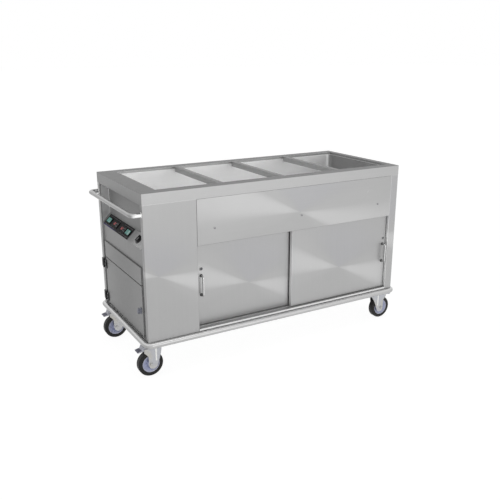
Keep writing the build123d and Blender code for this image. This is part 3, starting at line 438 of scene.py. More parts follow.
def brushed_steel(name, painted_face_shade, rough, grain_axis, painted_sheen=None, painted_sheen_to_sides=None,
                  metallic=0.9, shine=0.3):
    """Steel with a fine brushed grain along one axis, faint smears, scratches, painted highlights on
    its edges and painted shade by the way each face looks.

    A painted sheen is a fan of painted highlight on the sheet: its middle, its reach and its strength.
    A painted sheen to the sides is a place across which the sheet is painted darkest, and its gain in
    painted sheen towards both sides.
    """
    graph = Graph(name)
    stretch = {"X": (0.012, 1, 1), "Y": (1, 0.012, 1), "Z": (1, 1, 0.012)}[grain_axis]
    grain = graph.noise(900.0, stretch, detail=2.0)
    broad_grain = graph.noise(150.0, stretch, detail=3.0)
    smears = graph.noise(4.0, (1, 1, 1.4), detail=4.0)
    spots = graph.noise(38.0, detail=5.0)
    scratches = graph.noise(60.0, (0.9, 0.25, 0.6), detail=1.0)
    shade = graph.varied(grain, 0.07)
    shade = graph.varied(broad_grain, 0.05, shade)
    shade = graph.varied(smears, 0.05, shade)
    fine_scratch = graph.span(scratches, 0.74, 0.80, 0.0, 0.06)
    shade = graph.maths("ADD", shade, fine_scratch)
    # Painted highlight: the colour is lightened along the edges by the shine factor
    shade = graph.maths("MULTIPLY_ADD", graph.edges(0.002), shine, shade)
    colour = (1.0, 1.0, 1.0, 1.0)
    # Painted highlight in the colour, with a cooler painted reflection above its middle
    if painted_sheen:
        sheen, above = painted_fan_sheen(graph, *painted_sheen)
        shade = graph.maths("ADD", shade, sheen)
        colour = graph.blend(above, colour, (0.985, 0.985, 1.008, 1.0))
    # Painted sheen: the colour grows lighter away from a middle, towards both sides
    if painted_sheen_to_sides:
        middle, gain = painted_sheen_to_sides
        aside = graph.maths("ABSOLUTE", graph.maths("SUBTRACT", graph.axes()[1], middle.y))
        shade = graph.maths("ADD", shade, graph.span(aside, 0.03, 0.28, 0.0, gain))
    # Painted shade: the tone is scaled by the way each face looks
    shade = graph.maths("MULTIPLY", shade, graph.sides(*painted_face_shade))
    gloss = graph.varied(grain, 0.10, rough)
    gloss = graph.varied(spots, 0.08, gloss)
    normal = graph.bump(grain, 0.00003, 0.4, graph.soft_edges(0.0007))
    return graph.finish(graph.tinted(colour, shade), gloss, normal, metallic)


def painted_fan_sheen(graph, middle, reach, strength, tilt=15.0):
    """A painted sheen on a sheet: two wings of painted highlight that open sideways from a middle, the
    left one rising, and a mask of the part between them above the middle, which takes a cooler painted
    reflection."""
    axes = graph.axes()
    side = graph.maths("SUBTRACT", axes[0], middle.x)
    height = graph.maths("SUBTRACT", axes[2], middle.z)
    angle = graph.maths("ADD", graph.maths("ARCTAN2", height, side), math.radians(tilt))
    wave = graph.maths("COSINE", graph.maths("MULTIPLY", angle, 2.0))
    core = graph.span(wave, 0.84, 1.0, 0.0, 0.85)
    broad = graph.span(wave, 0.3, 1.0, 0.0, 0.15)
    square = graph.maths("MULTIPLY_ADD", height, height, graph.maths("MULTIPLY", side, side))
    away = graph.maths("SQRT", square)
    fade = graph.maths("MULTIPLY", graph.span(away, 0.0, 0.09, 0.4, 1.0),
                       graph.span(away, reach * 0.6, reach, 1.0, 0.75))
    sheen = graph.maths("MULTIPLY", graph.maths("ADD", core, broad), fade)
    above = graph.span(graph.maths("SINE", angle), 0.35, 0.8)
    near = graph.span(away, reach * 0.25, reach * 0.9, 1.0, 0.0)
    return graph.maths("MULTIPLY", sheen, strength), graph.maths("MULTIPLY", above, near)


def polymer(name, colour, rough, speckle=0.06, coat=0.0, edges=0.0006, shine=0.5):
    """Moulded plastic with a fine skin texture, a little dust and softened edges."""
    graph = Graph(name)
    graph.shader.inputs["Specular IOR Level"].default_value = shine
    skin = graph.noise(900.0, detail=2.0)
    cloud = graph.noise(14.0, detail=4.0)
    shade = graph.varied(skin, speckle, graph.varied(cloud, speckle * 2))
    roughness = graph.varied(cloud, 0.16, rough)
    normal = graph.bump(skin, 0.00006, 0.6, graph.soft_edges(edges))
    return graph.finish(graph.tinted(colour, shade), roughness, normal, coat=coat)


def cast_metal(name, colour, rough, pitting=0.00012, scale=180.0):
    """Cast, forged or turned metal with a fine pitted skin and polished high spots."""
    graph = Graph(name)
    pits = graph.noise(scale, detail=4.0)
    cloud = graph.noise(9.0, detail=3.0)
    shade = graph.varied(pits, 0.12, graph.varied(cloud, 0.16))
    roughness = graph.varied(pits, 0.2, rough)
    normal = graph.bump(pits, pitting, 0.5, graph.soft_edges(0.0006))
    return graph.finish(graph.tinted(colour, shade), roughness, normal, 1.0)


def zinc_plate(name, level):
    """Zinc-plated pressed steel: a faint mottle of grey and straw over a satin metal."""
    graph = Graph(name)
    mottle = graph.noise(46.0, detail=5.0, roughness=0.65)
    cloud = graph.noise(11.0, detail=2.0)
    warm = (level * 1.02, level, level * 0.94, 1.0)
    cool = (level * 0.95, level * 0.97, level * 1.03, 1.0)
    colour = graph.blend(graph.span(cloud, 0.35, 0.65), warm, cool)
    shade = graph.varied(mottle, 0.2)
    roughness = graph.varied(mottle, 0.22, 0.35)
    normal = graph.bump(mottle, 0.00006, 0.4, graph.soft_edges(0.0008))
    return graph.finish(graph.tinted(colour, shade), roughness, normal, 0.9)


def rubber(name, level):
    """Dark tyre rubber: matt, scuffed lighter in places, with fine mould grain."""
    graph = Graph(name)
    scuff = graph.noise(60.0, detail=6.0, roughness=0.7)
    grain = graph.noise(1400.0, detail=2.0)
    shade = graph.varied(grain, 0.3, graph.span(scuff, 0.45, 0.75, 1.0, 1.6))
    roughness = graph.varied(scuff, 0.2, 0.5)
    graph.shader.inputs["Specular IOR Level"].default_value = 0.3
    normal = graph.bump(grain, 0.0001, 0.6, graph.soft_edges(0.001))
    return graph.finish(graph.tinted((level * 1.03, level, level * 0.98), shade), roughness, normal)


def printed_foil(name):
    """The control foil: black round the controls, with a violet border strip along its lower rear edge,
    and bare grey in front of the last switch that is painted lighter towards the front as a painted
    reflection."""
    graph = Graph(name)
    graph.shader.inputs["Specular IOR Level"].default_value = 0.07
    black = (0.006, 0.005, 0.006, 1.0)
    worn_black = (0.014, 0.013, 0.014, 1.0)
    violet = (0.06, 0.05, 0.16, 1.0)
    place = slope(foil_black_end)
    mist = graph.noise(90.0, detail=3.0)
    skin = graph.noise(1500.0, detail=1.0)
    forward = graph.varied(mist, 0.01, graph.along(place, 0))
    up = graph.along(place, 1)
    colour = graph.blend(graph.span(mist, 0.35, 0.7), black, worn_black)
    low_edge = graph.span(up, -0.029, -0.025, 1.0, 0.0)
    rear_part = graph.span(forward, -0.24, -0.14, 1.0, 0.0)
    colour = graph.blend(graph.maths("MULTIPLY", low_edge, rear_part), colour, violet)
    # Painted reflection: the bare grey grows lighter towards the front
    bare_painted_reflection = graph.blend(graph.span(forward, 0.02, 0.13), grey(0.44), grey(0.80))
    colour = graph.blend(graph.span(forward, -0.004, 0.012), colour, bare_painted_reflection)
    roughness = graph.varied(mist, 0.12, 0.45)
    normal = graph.bump(skin, 0.00002, 0.4, graph.soft_edges(0.0004))
    return graph.finish(graph.tinted(colour, graph.varied(skin, 0.08)), roughness, normal)


def lit_segments(name, colour, strength):
    """The lit bars of a display, slightly uneven in brightness."""
    graph = Graph(name)
    flicker = graph.noise(800.0, detail=1.0)
    shade = graph.varied(flicker, 0.3)
    graph.join(graph.tinted(colour, shade), graph.shader.inputs["Emission Color"])
    graph.shader.inputs["Emission Strength"].default_value = strength
    return graph.finish(graph.tinted(colour, shade), 0.4, graph.soft_edges(0.0002))


def dress(material, *names):
    """Gives CAD nodes a material in place of the one they came with."""
    for name in names:
        slots = nodes[name].material_slots
        for slot in slots:
            slot.material = material
        if not slots:
            nodes[name].data.materials.append(material)


# Materials of the CAD pieces. A painted sheen, a fan of painted highlight on a sheet, is its middle,
# its reach in metres and its strength.
left_painted_sheen = (at(67, 0, 319), 0.30, 0.31)
apron_painted_sheen = (at(847, 0, 531), 0.60, 0.25)
rear_painted_sheen = (at(750, 640, 330), 0.70, 0.20)
right_painted_sheen = (at(1290, 0, 345), 0.60, 0.27)
left_door_painted_sheen = (at(573, 46, 187), 0.42, 0.27)
right_door_painted_sheen = (at(1125, 18, 183), 0.42, 0.27)
dress(brushed_steel("steel_left_panel", front_sheet, 0.42, "Z", left_painted_sheen, shine=0.8),
      "front_left_panel")
dress(brushed_steel("steel_rim", rim_sheet, 0.40, "X", shine=0.6), "top_frame")
dress(brushed_steel("steel_apron", front_sheet, 0.42, "X", apron_painted_sheen), "apron_panel")
dress(brushed_steel("steel_posts", post_sheet, 0.42, "Z", shine=0.8), "left_end_panel")
dress(brushed_steel("steel_ends", end_sheet, 0.42, "Y", painted_sheen_to_sides=(at(0, 300, 0), 0.22), shine=1.2),
      "wiring_cover", "service_door")
dress(brushed_steel("steel_panel", panel_sheet, 0.42, "Y", painted_sheen_to_sides=(at(0, 300, 0), 0.15)), "control_panel")
dress(brushed_steel("steel_niche", niche_sheet, 0.46, "Z"), "control_niche")
dress(brushed_steel("steel_right", door_sheet, 0.42, "Z", right_painted_sheen), "right_end_panel")
dress(brushed_steel("steel_rear", rear_sheet, 0.42, "X", rear_painted_sheen), "rear_panel")
dress(brushed_steel("steel_inside", inside_sheet, 0.42, "X", metallic=0.4),
      "partition", "heater_tray")
dress(brushed_steel("steel_sill", sill_sheet, 0.40, "X", metallic=0.6), "floor_pan", "lower_guide")
dress(brushed_steel("steel_left_door", door_sheet, 0.42, "Z", left_door_painted_sheen), "left_door")
dress(brushed_steel("steel_right_door", door_sheet, 0.42, "Z", right_door_painted_sheen), "right_door")
dress(brushed_steel("steel_well", well_sheet, 0.45, "X", metallic=0.6), "well_tank")
dress(brushed_steel("steel_bars", bar_sheet, 0.36, "Y"),
      "divider_bar_1", "divider_bar_2", "divider_bar_3")
dress(brushed_steel("steel_bumper", bumper_tube, 0.30, "Y"), "bumper_tube")
dress(brushed_steel("steel_handle", handle_tube, 0.30, "Y"), "push_handle")
dress(brushed_steel("steel_bow", bow_tube, 0.25, "Z"), "left_door_handle", "right_door_handle")
dress(brushed_steel("steel_frame", frame_sheet, 0.45, "X"),
      "chassis_frame", "drain_pipe", "upper_track")
bright_metal = cast_metal("bright_metal", (0.66, 0.66, 0.65), 0.28)
screw_metal = cast_metal("screw_metal", (0.34, 0.34, 0.35), 0.32)
# Painted shade for recesses and slots, on pieces that stand on the surface
painted_recess_shade = polymer("painted_recess_shade", (0.03, 0.03, 0.032), 0.6)
lock_metal = cast_metal("lock_metal", (0.17, 0.17, 0.18), 0.30)
dress(lock_metal, "left_door_lock", "right_door_lock")
dress(cast_metal("brass_valve", (0.72, 0.60, 0.38), 0.36), "drain_valve")
dress(cast_metal("element_steel", (0.30, 0.29, 0.29), 0.42), "well_heater", "cupboard_heater")
hinge_black = polymer("hinge_black", (0.012, 0.012, 0.013), 0.5)
dress(hinge_black, "hinge_post_leaves", "hinge_door_leaves")
dress(polymer("latch_grey", (0.33, 0.34, 0.40), 0.42), "service_door_latch")
dress(printed_foil("foil"), "control_foil")
bezel_black = polymer("bezel_black", (0.005, 0.005, 0.006), 0.45, shine=0.08)
dress(bezel_black, "thermostats", "switch_frames")
dress(polymer("rocker_teal", (0.06, 0.42, 0.35), 0.22, coat=0.8), "rocker_rear", "rocker_front")
knob_black = polymer("knob_black", (0.022, 0.022, 0.024), 0.38)
dress(knob_black, "main_switch_knob")
lever_red = polymer("lever_red", (0.45, 0.02, 0.02), 0.4)
dress(cast_metal("lever_steel", (0.55, 0.55, 0.55), 0.34), "drain_valve_lever")
box_grey = polymer("box_grey", (0.42, 0.43, 0.44), 0.5)
dress(box_grey, "terminal_box")
zinc = zinc_plate("zinc", 0.58)
dress(zinc, "castor_plates")
hub_lavender = polymer("hub_lavender", (0.56, 0.60, 0.82), 0.42)
# The hub's raised rings take a lighter copy of its lavender: painted highlight
hub_painted_lit = polymer("hub_painted_lit", (0.74, 0.76, 0.92), 0.40)
tyre_rubber = rubber("tyre_rubber", 0.013)
# Painted light on the pedal: the pad's dark lavender is painted shade on the tread, the pedal's pale
# lavender a lit copy
pedal_pad_painted_shade = polymer("pedal_pad_painted_shade", (0.17, 0.17, 0.23), 0.42)
pedal_painted_lit = polymer("pedal_painted_lit", (0.66, 0.67, 0.74), 0.36)
fork_zinc = zinc_plate("fork_zinc", 0.50)
for castor in castor_places:
    dress(hub_lavender, castor + "_hub")
    dress(tyre_rubber, castor + "_tyre")
    dress(pedal_painted_lit, castor + "_pedal")
    dress(fork_zinc, castor + "_fork")

# Materials of the added pieces alone
pane_glass = polymer("pane_glass", (0.010, 0.005, 0.006), 0.25, speckle=0.02, shine=0.10)
digit_red = lit_segments("digit_red", (0.42, 0.02, 0.03), 0.5)
key_grey = polymer("key_grey", (0.035, 0.035, 0.038), 0.45)
print_white = polymer("print_white", (0.62, 0.62, 0.60), 0.5, edges=0.0001)
print_grey = polymer("print_grey", (0.26, 0.26, 0.28), 0.5, edges=0.0001)
print_dark = polymer("print_dark", (0.03, 0.03, 0.035), 0.5, edges=0.0001)
cap_light = polymer("cap_light", (0.42, 0.42, 0.42), 0.4)
foot_grey = polymer("foot_grey", (0.06, 0.06, 0.062), 0.5)
bush_white = polymer("bush_white", (0.72, 0.70, 0.64), 0.5)
# A lighter zinc for the fork ribs: painted highlight
zinc_painted_highlight = cast_metal("zinc_painted_highlight", (0.76, 0.76, 0.74), 0.26)


# Controls
def digit(shape, place, lit, height, width, stroke):
    """A seven-bar digit: its lit bars are named by their letters, as on any such display."""
    half = height / 2
    lean = 0.1
    thickness = 0.12
    bars = {
        "a": ((0, height), (width, height)),
        "b": ((width, height), (width, half)),
        "c": ((width, half), (width, 0)),
        "d": ((0, 0), (width, 0)),
        "e": ((0, half), (0, 0)),
        "f": ((0, height), (0, half)),
        "g": ((0, half), (width, half)),
    }
    gap = stroke * 0.35
    for letter in lit:
        (x0, y0), (x1, y1) = bars[letter]
        step = Vector((x1 - x0, y1 - y0)).normalized() * gap
        start = (x0 + step.x + y0 * lean, y0 + step.y)
        end = (x1 - step.x + y1 * lean, y1 - step.y)
        shape.band(place, [start, end], stroke, 0.0, thickness)


def add_thermostats():
    """The two controllers' windows, readings, keys and lamps."""
    panes = Shape()
    digits = Shape()
    keys = Shape()
    marks = Shape()
    readings = (("abcdefg", "abcdef"), ("acdefg", "abcdef"))
    pane_gap = 0.4
    pane_top = window_floor + 0.5
    pane_length = window_length - 2 * pane_gap
    pane_width = window_width - 2 * pane_gap
    digit_height = 12.0
    digit_width = 7.5
    digit_pitch = 12.0
    lamp_profile = [(1.6, -0.1), (1.6, 0.12), (0, 0.2)]
    key_top = bezel_top + 0.5
    arrow = 2.0
    for y, reading in zip(thermostat_places, readings):
        place = slope(y)
        panes.bar(place, window_middle, 0, pane_length, pane_width, window_floor - 0.2, pane_top, 1.0)
        first = window_middle - digit_pitch
        for number, lit in enumerate(reading):
            spot = shifted(place, first + number * digit_pitch, -digit_height / 2, pane_top)
            digit(digits, spot, lit, digit_height, digit_width, 2.0)
        digits.turned(shifted(place, window_middle + 14.5, 3, pane_top), lamp_profile, 12)
        for x in (16.5, 27.5):
            for across in (-7, 7):
                keys.bar(place, x, across, 8.5, 8.0, bezel_top - 0.2, key_top, 2.0)
                point = math.copysign(arrow, across)
                low = across - point / 2
                tip = [(x - arrow, low), (x, low + point), (x + arrow, low)]
                marks.band(place, tip, 0.6, key_top - 0.05, key_top + 0.08)
    panes.piece("display_panes", pane_glass, "trolley", 0.15)
    digits.piece("display_digits", digit_red, "trolley")
    keys.piece("thermostat_keys", key_grey, "trolley", 0.3)
    marks.piece("thermostat_key_marks", print_white, "trolley")


def add_rocker_marks():
    """A line on the rear end of each rocker and a ring on its front end."""
    mark_place = 9
    mark_low = -0.1
    mark_high = 0.12
    slant = math.atan2(rocker_rise - rocker_dip, rocker_run)
    mark_rise = rocker_top + rocker_dip + mark_place * math.tan(slant)
    for body, y in rocker_places.items():
        tilt = shifted(slope(y), 0, 0, rocker_pin)
        tilt = tilt @ Matrix.Rotation(math.radians(rocker_tilt), 4, "Y")
        tilt = shifted(tilt, 0, 0, -rocker_pin)
        shape = Shape()
        for side in (-1, 1):
            face = shifted(tilt, side * mark_place, 0, mark_rise)
            face = face @ Matrix.Rotation(-side * slant, 4, "Y")
            if side < 0:
                shape.bar(face, 0, 0, 1.2, 8, mark_low, mark_high, 0.4)
            else:
                shape.ring(face, 2.6, 3.6, mark_low, mark_high, 20)
        shape.piece(body + "_marks", print_white, body)


def add_knob_face():
    """The knob's light cap with its ring, a pointer line, grip ribs, and the dial on the foil."""
    place = slope(knob_place)
    cap_radius = 10.2
    rib_count = 24
    dial_radius = 24
    foil_inside = foil_surface - 0.1
    cap = Shape()
    base = knob_plate_top
    cap.turned(place, [(0, base), (cap_radius - 0.7, base), (cap_radius, base + 0.4),
                       (cap_radius, base + 1.0), (cap_radius - 1.2, base + 1.2), (0, base + 1.4)], 32)
    cap.piece("knob_cap", cap_light, "main_switch")
    grip = Shape()
    for step in range(rib_count):
        turn = place @ Matrix.Rotation(2 * math.pi * step / rib_count, 4, "Z")
        grip.bar(turn, knob_skirt_radius, 0, 2.0, 1.8, 1.3, 4.2, 0.5)
    grip.ring(place, cap_radius + 1.0, cap_radius + 2.6, base - 0.3, base + 0.3)
    grip.piece("knob_grip", knob_black, "main_switch")
    line = Shape()
    line.bar(place, 0, 12, 1.4, 13, knob_wing_top, knob_wing_top + 0.25, 0.4)
    line.piece("knob_line", print_white, "main_switch")
    dial = Shape()
    for angle in (90, 0):
        turn = place @ Matrix.Rotation(math.radians(angle), 4, "Z")
        dial.bar(turn, dial_radius + 1.5, 0, 4.5, 1.4, foil_inside, foil_surface + 0.12, 0.3)
    angles = [math.radians(angle) for angle in range(6, 85, 6)]
    arc = [(dial_radius * math.cos(angle), dial_radius * math.sin(angle)) for angle in angles]
    dial.band(place, arc, 0.7, foil_inside, foil_surface + 0.1)
    dial.piece("knob_dial", print_dark, "trolley")


def add_foil_marks():
    """Marks printed on the foil: two lines that frame each group and a wave under each rocker."""
    shape = Shape()
    low = foil_surface - 0.1
    high = foil_surface + 0.1
    line_place = 24
    wave_place = -27.5
    for thermostat, rocker, length in zip(thermostat_places, rocker_places.values(), (150, 120)):
        place = slope((thermostat + rocker) / 2)
        for across in (-line_place, line_place):
            shape.bar(place, 0, across, length, 0.7, low, high)
    for y in rocker_places.values():
        wave = [(n * 1.6 - 8, wave_place + 1.3 * math.sin(n * 1.25)) for n in range(11)]
        shape.band(slope(y), wave, 0.8, low, high)
    shape.piece("foil_marks", print_grey, "trolley")


# Fasteners and fittings
def pan_head(shape, recess, place, radius):
    """A domed screw head with a cross recess, drawn as a dark cross of painted shade standing on the
    head.
    """
    dome = [(0, 0), (1, 0), (1, 0.3), (0.8, 0.5), (0.45, 0.62), (0, 0.66)]
    shape.turned(place, [(radius * out, radius * high) for out, high in dome], 20)
    for turn in (20, 110):
        spun = place @ Matrix.Rotation(math.radians(turn), 4, "Z")
        recess.bar(spun, 0, 0, radius, radius * 0.24, 0.5 * radius, 0.68 * radius)


def hex_nut(shape, place, radius, high):
    """A hexagon nut with a chamfered top."""
    shape.prism(place, hexagon(radius), 0, high * 0.85)
    chamfer = [(0, high * 0.8), (radius * 0.86, high * 0.8), (radius * 0.8, high), (0, high)]
    shape.turned(place, chamfer, 24)


def add_screws():
    """The apron's three screws and the screws of the hinges and the terminal box."""
    heads = Shape()
    recess = Shape()
    for x in apron_screws:
        pan_head(heads, recess, facing_front(x, 0, apron_screw_height), 5.2)
    box_face, box_y, box_z = terminal_box_middle
    spread_y, spread_z = terminal_screw_spread
    for y in (box_y - spread_y, box_y + spread_y):
        for z in (box_z - spread_z, box_z + spread_z):
            pan_head(heads, recess, facing_left(box_face, y, z), 3.0)
    heads.piece("panel_screws", screw_metal, "trolley")
    recess.piece("panel_screw_recesses", painted_recess_shade, "trolley")
    lid = Shape()
    lid.bar(facing_left(box_face + 1.5, box_y, box_z), 0, 0, 112, 82, -0.5, 1.5, 4)
    lid.piece("terminal_box_lid", box_grey, "trolley", 0.5)
    for body, (y, x) in hinge_leaves.items():
        heads = Shape()
        recess = Shape()
        for middle in hinge_heights:
            for offset in (-hinge_screw_spread, hinge_screw_spread):
                pan_head(heads, recess, facing_left(x, y, middle + offset), 2.8)
        heads.piece(body + "_hinge_screws", screw_metal, body)
        recess.piece(body + "_hinge_recesses", painted_recess_shade, body)


def add_collar(shape, place, radius, profile, sides=32):
    """A collar round a tube, from points of distance to the tube and height."""
    points = [(radius + out, height) for out, height in profile]
    shape.turned(place, points, sides, closed=True)


def add_handle_fittings():
    """Weld collars at the push handle, dark feet at the door handles, rings round the locks."""
    collar = [(0, -0.3), (2.5, -0.3), (1.7, 1.0), (0.5, 2.0), (0, 2.4)]
    foot = [(0, -0.2), (3.4, -0.2), (3.4, 3.0), (2.4, 4.2), (0, 4.6)]
    rim = [(0, 0.1), (1.9, 0.1), (1.7, 1.6), (0.7, lock_top), (0, lock_top)]
    collars = Shape()
    for y in (post_middle, body_depth - post_middle):
        add_collar(collars, facing_left(0, y, handle_height), handle_radius, collar)
    collars.piece("handle_welds", bright_metal, "trolley")
    for door, (x, face) in door_faces.items():
        feet = Shape()
        for z in bow_feet:
            add_collar(feet, facing_front(x, face, z), bow_radius, foot, 24)
        feet.piece(door + "_handle_feet", foot_grey, door)
        lock = door.replace("door", "lock")
        place = facing_front(x, face, lock_height)
        ring = Shape()
        add_collar(ring, place, lock_radius, rim, 28)
        ring.piece(door + "_lock_ring", bright_metal, door)
        # The key slot and the ring round it are dark pieces of painted shade on the lock's face
        slot = Shape()
        slot.ring(place, 5.6, 6.4, lock_top, lock_top + 0.4, 24)
        slot.bar(place, 0, 0, 2.4, 8.0, lock_top - 0.1, lock_top + 0.2)
        slot.piece(door + "_key_slot", painted_recess_shade, lock)


def add_well_fittings():
    """A strainer over the well's outlet, and the ends of the two heating elements."""
    place = surface(at(*well_outlet), (0, 0, 1), (1, 0, 0))
    spoke_count = 8
    strainer = Shape()
    for inner, outer in ((3, 5), (8, 10), (13, 17)):
        strainer.ring(place, inner, outer, 0.1, 2.2)
    for step in range(spoke_count):
        turn = place @ Matrix.Rotation(2 * math.pi * step / spoke_count, 4, "Z")
        strainer.bar(turn, 9, 0, 12, 1.6, 0.3, 1.9)
    strainer.piece("well_strainer", bright_metal, "trolley", 0.2)
    bushes = Shape()
    studs = Shape()
    bush_profile = [(0, -1), (4.2, -1), (4.2, 5), (3.4, 6.5), (0, 6.5)]
    for end in well_element_ends + cupboard_element_ends:
        place = facing_left(*end)
        bushes.turned(place, bush_profile, 20)
        studs.disc(place, 2, 6, 13, 14)
        hex_nut(studs, shifted(place, 0, 0, 8), 4.2, 2.6)
    bushes.piece("element_bushes", bush_white, "trolley")
    studs.piece("element_studs", screw_metal, "trolley")


def add_drain_fittings():
    """The nut on the drain valve's stem and the dipped sleeve on its lever."""
    nut = Shape()
    hex_nut(nut, facing_left(*valve_stem), 6.5, 3.5)
    nut.piece("valve_nut", screw_metal, "trolley")
    low, high = [Vector(end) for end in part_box("drain_valve_lever")]
    front = (low + high) / 2
    front.y = low.y
    grip = surface(front, (-1, 0, 0), (0, 1, 0))
    sleeve = Shape()
    length = 66
    skin = 2.7
    rib = 0.8
    sleeve.bar(grip, length / 2, 0, length, 20.5, -skin, skin, 8)
    for step in range(6):
        for base in (-skin - rib, skin):
            sleeve.bar(grip, 14 + step * 8, 0, 2.5, 13, base, base + rib, 1)
    sleeve.piece("lever_sleeve", lever_red, "drain_lever", 0.8)


# Castors
def castor_frame(name):
    """A frame on a swivel axis at floor level, with x along the castor's trail."""
    x, y, direction = castor_places[name]
    place = at(x, y, 0)
    place.z = 0.0
    return surface(place, (0, 0, 1), (direction, 0, 0))


def side_frame(name, side, x, z):
    """A frame on one side of a castor's fork: x along the trail, y up and z outward, so that
    the shapes on the two sides are each other's mirror image."""
    upright = Matrix(((1, 0, 0), (0, 0, side), (0, 1, 0))).to_4x4()
    return shifted(castor_frame(name), x, side * fork_cheek, z) @ upright


def add_plate_bolts(name):
    """The four bolts of a castor's plate and the seal ring between its races."""
    base = castor_frame(name)
    bolts = Shape()
    spread_x, spread_y = plate_bolt_spread
    washer = 1.0
    for x in (-spread_x, spread_x):
        for y in (-spread_y, spread_y):
            place = shifted(base, x, y, plate_underside) @ Matrix.Rotation(math.pi, 4, "X")
            bolts.disc(place, 7.6, 0, washer)
            hex_nut(bolts, shifted(place, 0, 0, washer), 5.8, 2.8)
    low, high = race_heights
    bulge = race_radius + 1.6
    seal = [(race_radius, low), (bulge, low + 0.4), (bulge, high - 0.4), (race_radius, high)]
    bolts.turned(base, seal, 40, closed=True)
    bolts.piece(name + "_plate_bolts", screw_metal, "trolley")


def add_fork_fittings(name):
    """The axle's nuts, the pedal pin's heads and a pressed rib on each cheek of a fork."""
    nuts = Shape()
    ribs = Shape()
    washer = 1.2
    washer_profile = [(6.4, 0), (10.5, 0), (10.2, washer), (6.4, washer)]
    bolt_end = [(0, 4.6), (5.4, 4.6), (4.4, 5.8), (0, 6.0)]
    pin_head = [(0, -0.2), (5.0, -0.2), (4.6, 1.0), (2.6, 1.9), (0, 2.1)]
    for side in (-1, 1):
        axle = side_frame(name, side, castor_trail, wheel_radius)
        nuts.turned(axle, washer_profile, 28, closed=True)
        nuts.prism(shifted(axle, 0, 0, washer), hexagon(7.7, 12), 0, 3.2)
        nuts.turned(axle, bolt_end, 20)
        nuts.turned(side_frame(name, side, *pedal_pin), pin_head, 20)
        ribs.bar(side_frame(name, side, 0, 0), -2.0, 110, 8.0, 66, -0.3, 0.9, 3.9)
    nuts.piece(name + "_axle_nuts", fork_zinc, name + "_castor")
    # The ribs take a lighter zinc than the fork, a painted highlight down each cheek
    ribs.piece(name + "_fork_ribs", zinc_painted_highlight, name + "_castor", 0.6)


def add_wheel_rings(name):
    """The raised rings and ribs of a hub and the moulded lines of a tyre, on both faces."""
    rings = Shape()
    spokes = Shape()
    lines = Shape()
    spoke_count = 10
    rim_ring = [(38.0, 13.0), (43.9, 13.0), (43.9, 16.4), (42.4, 17.0), (39.4, 15.0)]
    boss_ring = [(13.9, 9.0), (16.4, 7.6), (15.4, 16.8), (13.9, 17.4)]
    spoke = [(15, 4.5), (38, 12.5), (38, 13.8), (15, 9.0)]
    inner_line = [(47.0, 16.7), (48.4, 16.7), (48.0, 17.4), (47.4, 17.4)]
    outer_line = [(56.0, 16.7), (58.2, 16.7), (57.6, 17.3), (56.6, 17.3)]
    for side in (-1, 1):
        place = shifted(side_frame(name, side, castor_trail, wheel_radius), 0, 0, -fork_cheek)
        rings.turned(place, rim_ring, 48, closed=True)
        rings.turned(place, boss_ring, 32, closed=True)
        for step in range(spoke_count):
            turn = place @ Matrix.Rotation(2 * math.pi * step / spoke_count, 4, "Z")
            upright = turn @ Matrix.Rotation(math.radians(90), 4, "X")
            spokes.prism(upright, spoke, -1.2, 1.2)
        lines.turned(place, inner_line, 56, closed=True)
        lines.turned(place, outer_line, 56, closed=True)
    # Painted highlight: the rings take the lighter copy of the hub's lavender
    rings.piece(name + "_hub_rings", hub_painted_lit, name + "_wheel", 0.3)
    spokes.piece(name + "_hub_ribs", hub_lavender, name + "_wheel")
    lines.piece(name + "_tyre_lines", tyre_rubber, name + "_wheel")


def add_pedal_pad(name):
    """The ribbed pad on a brake pedal's tread, with its lip over the edge."""
    bend_x, bend_z = pedal_bend
    drop = pedal_run * math.sin(math.radians(pedal_slope))
    length = math.hypot(pedal_run, drop)
    tilt = Matrix.Rotation(math.atan2(drop, pedal_run), 4, "Y")
    tread = shifted(castor_frame(name), bend_x, 0, bend_z) @ tilt
    pad_top = 1.4
    pad = Shape()
    pad.bar(tread, length / 2 + 0.5, 0, length - 1, pedal_width, -1.0, pad_top, 2.0)
    for step in range(4):
        pad.bar(tread, 4.5 + step * 4.4, 0, 1.8, 32, pad_top - 0.2, pad_top + 1.0, 0.8)
    pad.bar(tread, length + 0.6, 0, 1.6, pedal_width, -3.6, pad_top, 0.6)
    # The pad takes the dark lavender, painted shade on the tread
    pad.piece(name + "_pedal_pad", pedal_pad_painted_shade, name + "_brake", 0.4)


# The added pieces
add_thermostats()
add_rocker_marks()
add_knob_face()
add_foil_marks()
add_screws()
add_handle_fittings()
add_well_fittings()
add_drain_fittings()
for castor in castor_places:
    add_plate_bolts(castor)
    add_fork_fittings(castor)
    add_wheel_rings(castor)
    add_pedal_pad(castor)


# Floor, light and camera
def add_floor():
    """A pale floor that shows white to the camera and keeps a faint shadow of the object."""
    mesh = bpy.data.meshes.new("floor")
    shape = bmesh.new()
    half = 60.0
    corners = [(-half, -half), (half, -half), (half, half), (-half, half)]
    shape.faces.new([shape.verts.new((x, y, 0.0)) for x, y in corners])
    shape.to_mesh(mesh)
    shape.free()
    floor = bpy.data.objects.new("floor", mesh)
    bpy.context.scene.collection.objects.link(floor)
    graph = Graph("floor")
    graph.tree.nodes.remove(graph.shader)
    diffuse = graph.add("ShaderNodeBsdfDiffuse")
    diffuse.inputs["Color"].default_value = grey(0.8)
    white = graph.add("ShaderNodeEmission")
    white.inputs["Color"].default_value = grey(0.92)
    white.inputs["Strength"].default_value = 1.0
    faint = graph.add("ShaderNodeBsdfDiffuse")
    faint.inputs["Color"].default_value = grey(0.22)
    seen = graph.add("ShaderNodeAddShader")
    graph.join(faint.outputs[0], seen.inputs[0])
    graph.join(white.outputs[0], seen.inputs[1])
    mixed = graph.add("ShaderNodeMixShader")
    graph.join(seen_rays(graph), mixed.inputs[0])
    graph.join(diffuse.outputs[0], mixed.inputs[1])
    graph.join(seen.outputs[0], mixed.inputs[2])
    graph.join(mixed.outputs[0], graph.output.inputs["Surface"])
    mesh.materials.append(graph.material)


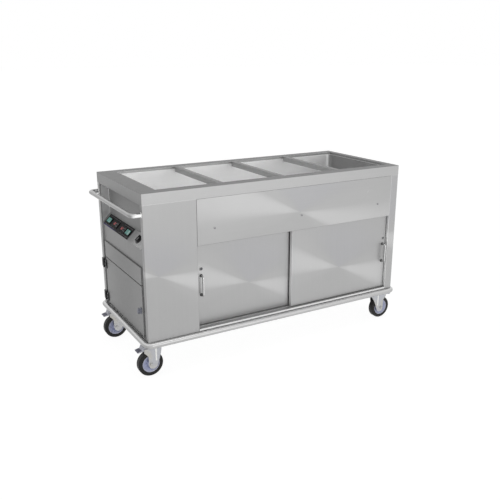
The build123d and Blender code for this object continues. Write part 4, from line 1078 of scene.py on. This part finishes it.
def seen_rays(graph):
    """1 for the rays that show the background: from the camera, and in metal and glass."""
    path = graph.add("ShaderNodeLightPath")
    both = graph.maths("MAXIMUM", path.outputs["Is Camera Ray"], path.outputs["Is Glossy Ray"])
    return graph.maths("MAXIMUM", both, path.outputs["Is Transmission Ray"])


def add_world():
    """An even grey surround that shows white behind the object."""
    world = bpy.data.worlds.new("studio")
    bpy.context.scene.world = world
    world.use_nodes = True
    tree = world.node_tree
    background = tree.nodes["Background"]
    background.inputs["Color"].default_value = grey(1.0)
    background.inputs["Strength"].default_value = surround_level
    white = tree.nodes.new("ShaderNodeBackground")
    white.inputs["Color"].default_value = grey(1.0)
    white.inputs["Strength"].default_value = 1.0
    path = tree.nodes.new("ShaderNodeLightPath")
    seen = path.outputs["Is Camera Ray"]
    for kind in ("Is Glossy Ray", "Is Transmission Ray"):
        either = tree.nodes.new("ShaderNodeMath")
        either.operation = "MAXIMUM"
        tree.links.new(seen, either.inputs[0])
        tree.links.new(path.outputs[kind], either.inputs[1])
        seen = either.outputs[0]
    mixed = tree.nodes.new("ShaderNodeMixShader")
    tree.links.new(seen, mixed.inputs[0])
    tree.links.new(background.outputs[0], mixed.inputs[1])
    tree.links.new(white.outputs[0], mixed.inputs[2])
    tree.links.new(mixed.outputs[0], tree.nodes["World Output"].inputs["Surface"])


def add_light(name, place, target, size, power):
    """A large square lamp that faces a place."""
    data = bpy.data.lights.new(name, "AREA")
    data.size = size
    data.energy = power
    lamp = bpy.data.objects.new(name, data)
    lamp.location = place
    lamp.rotation_euler = (Vector(target) - Vector(place)).to_track_quat("-Z", "Y").to_euler()
    bpy.context.scene.collection.objects.link(lamp)


def add_camera():
    data = bpy.data.cameras.new("camera")
    data.lens = camera_lens
    data.sensor_width = 36.0
    data.clip_end = 200.0
    camera = bpy.data.objects.new("camera", data)
    camera.location = corner + Vector(camera_offset)
    camera.rotation_euler = [math.radians(angle) for angle in camera_turn]
    bpy.context.scene.collection.objects.link(camera)
    bpy.context.scene.camera = camera


add_floor()
add_world()
for lamp_name, lamp_settings in lamps.items():
    add_light(lamp_name, *lamp_settings)
add_camera()
bpy.context.scene.view_settings.view_transform = "Standard"
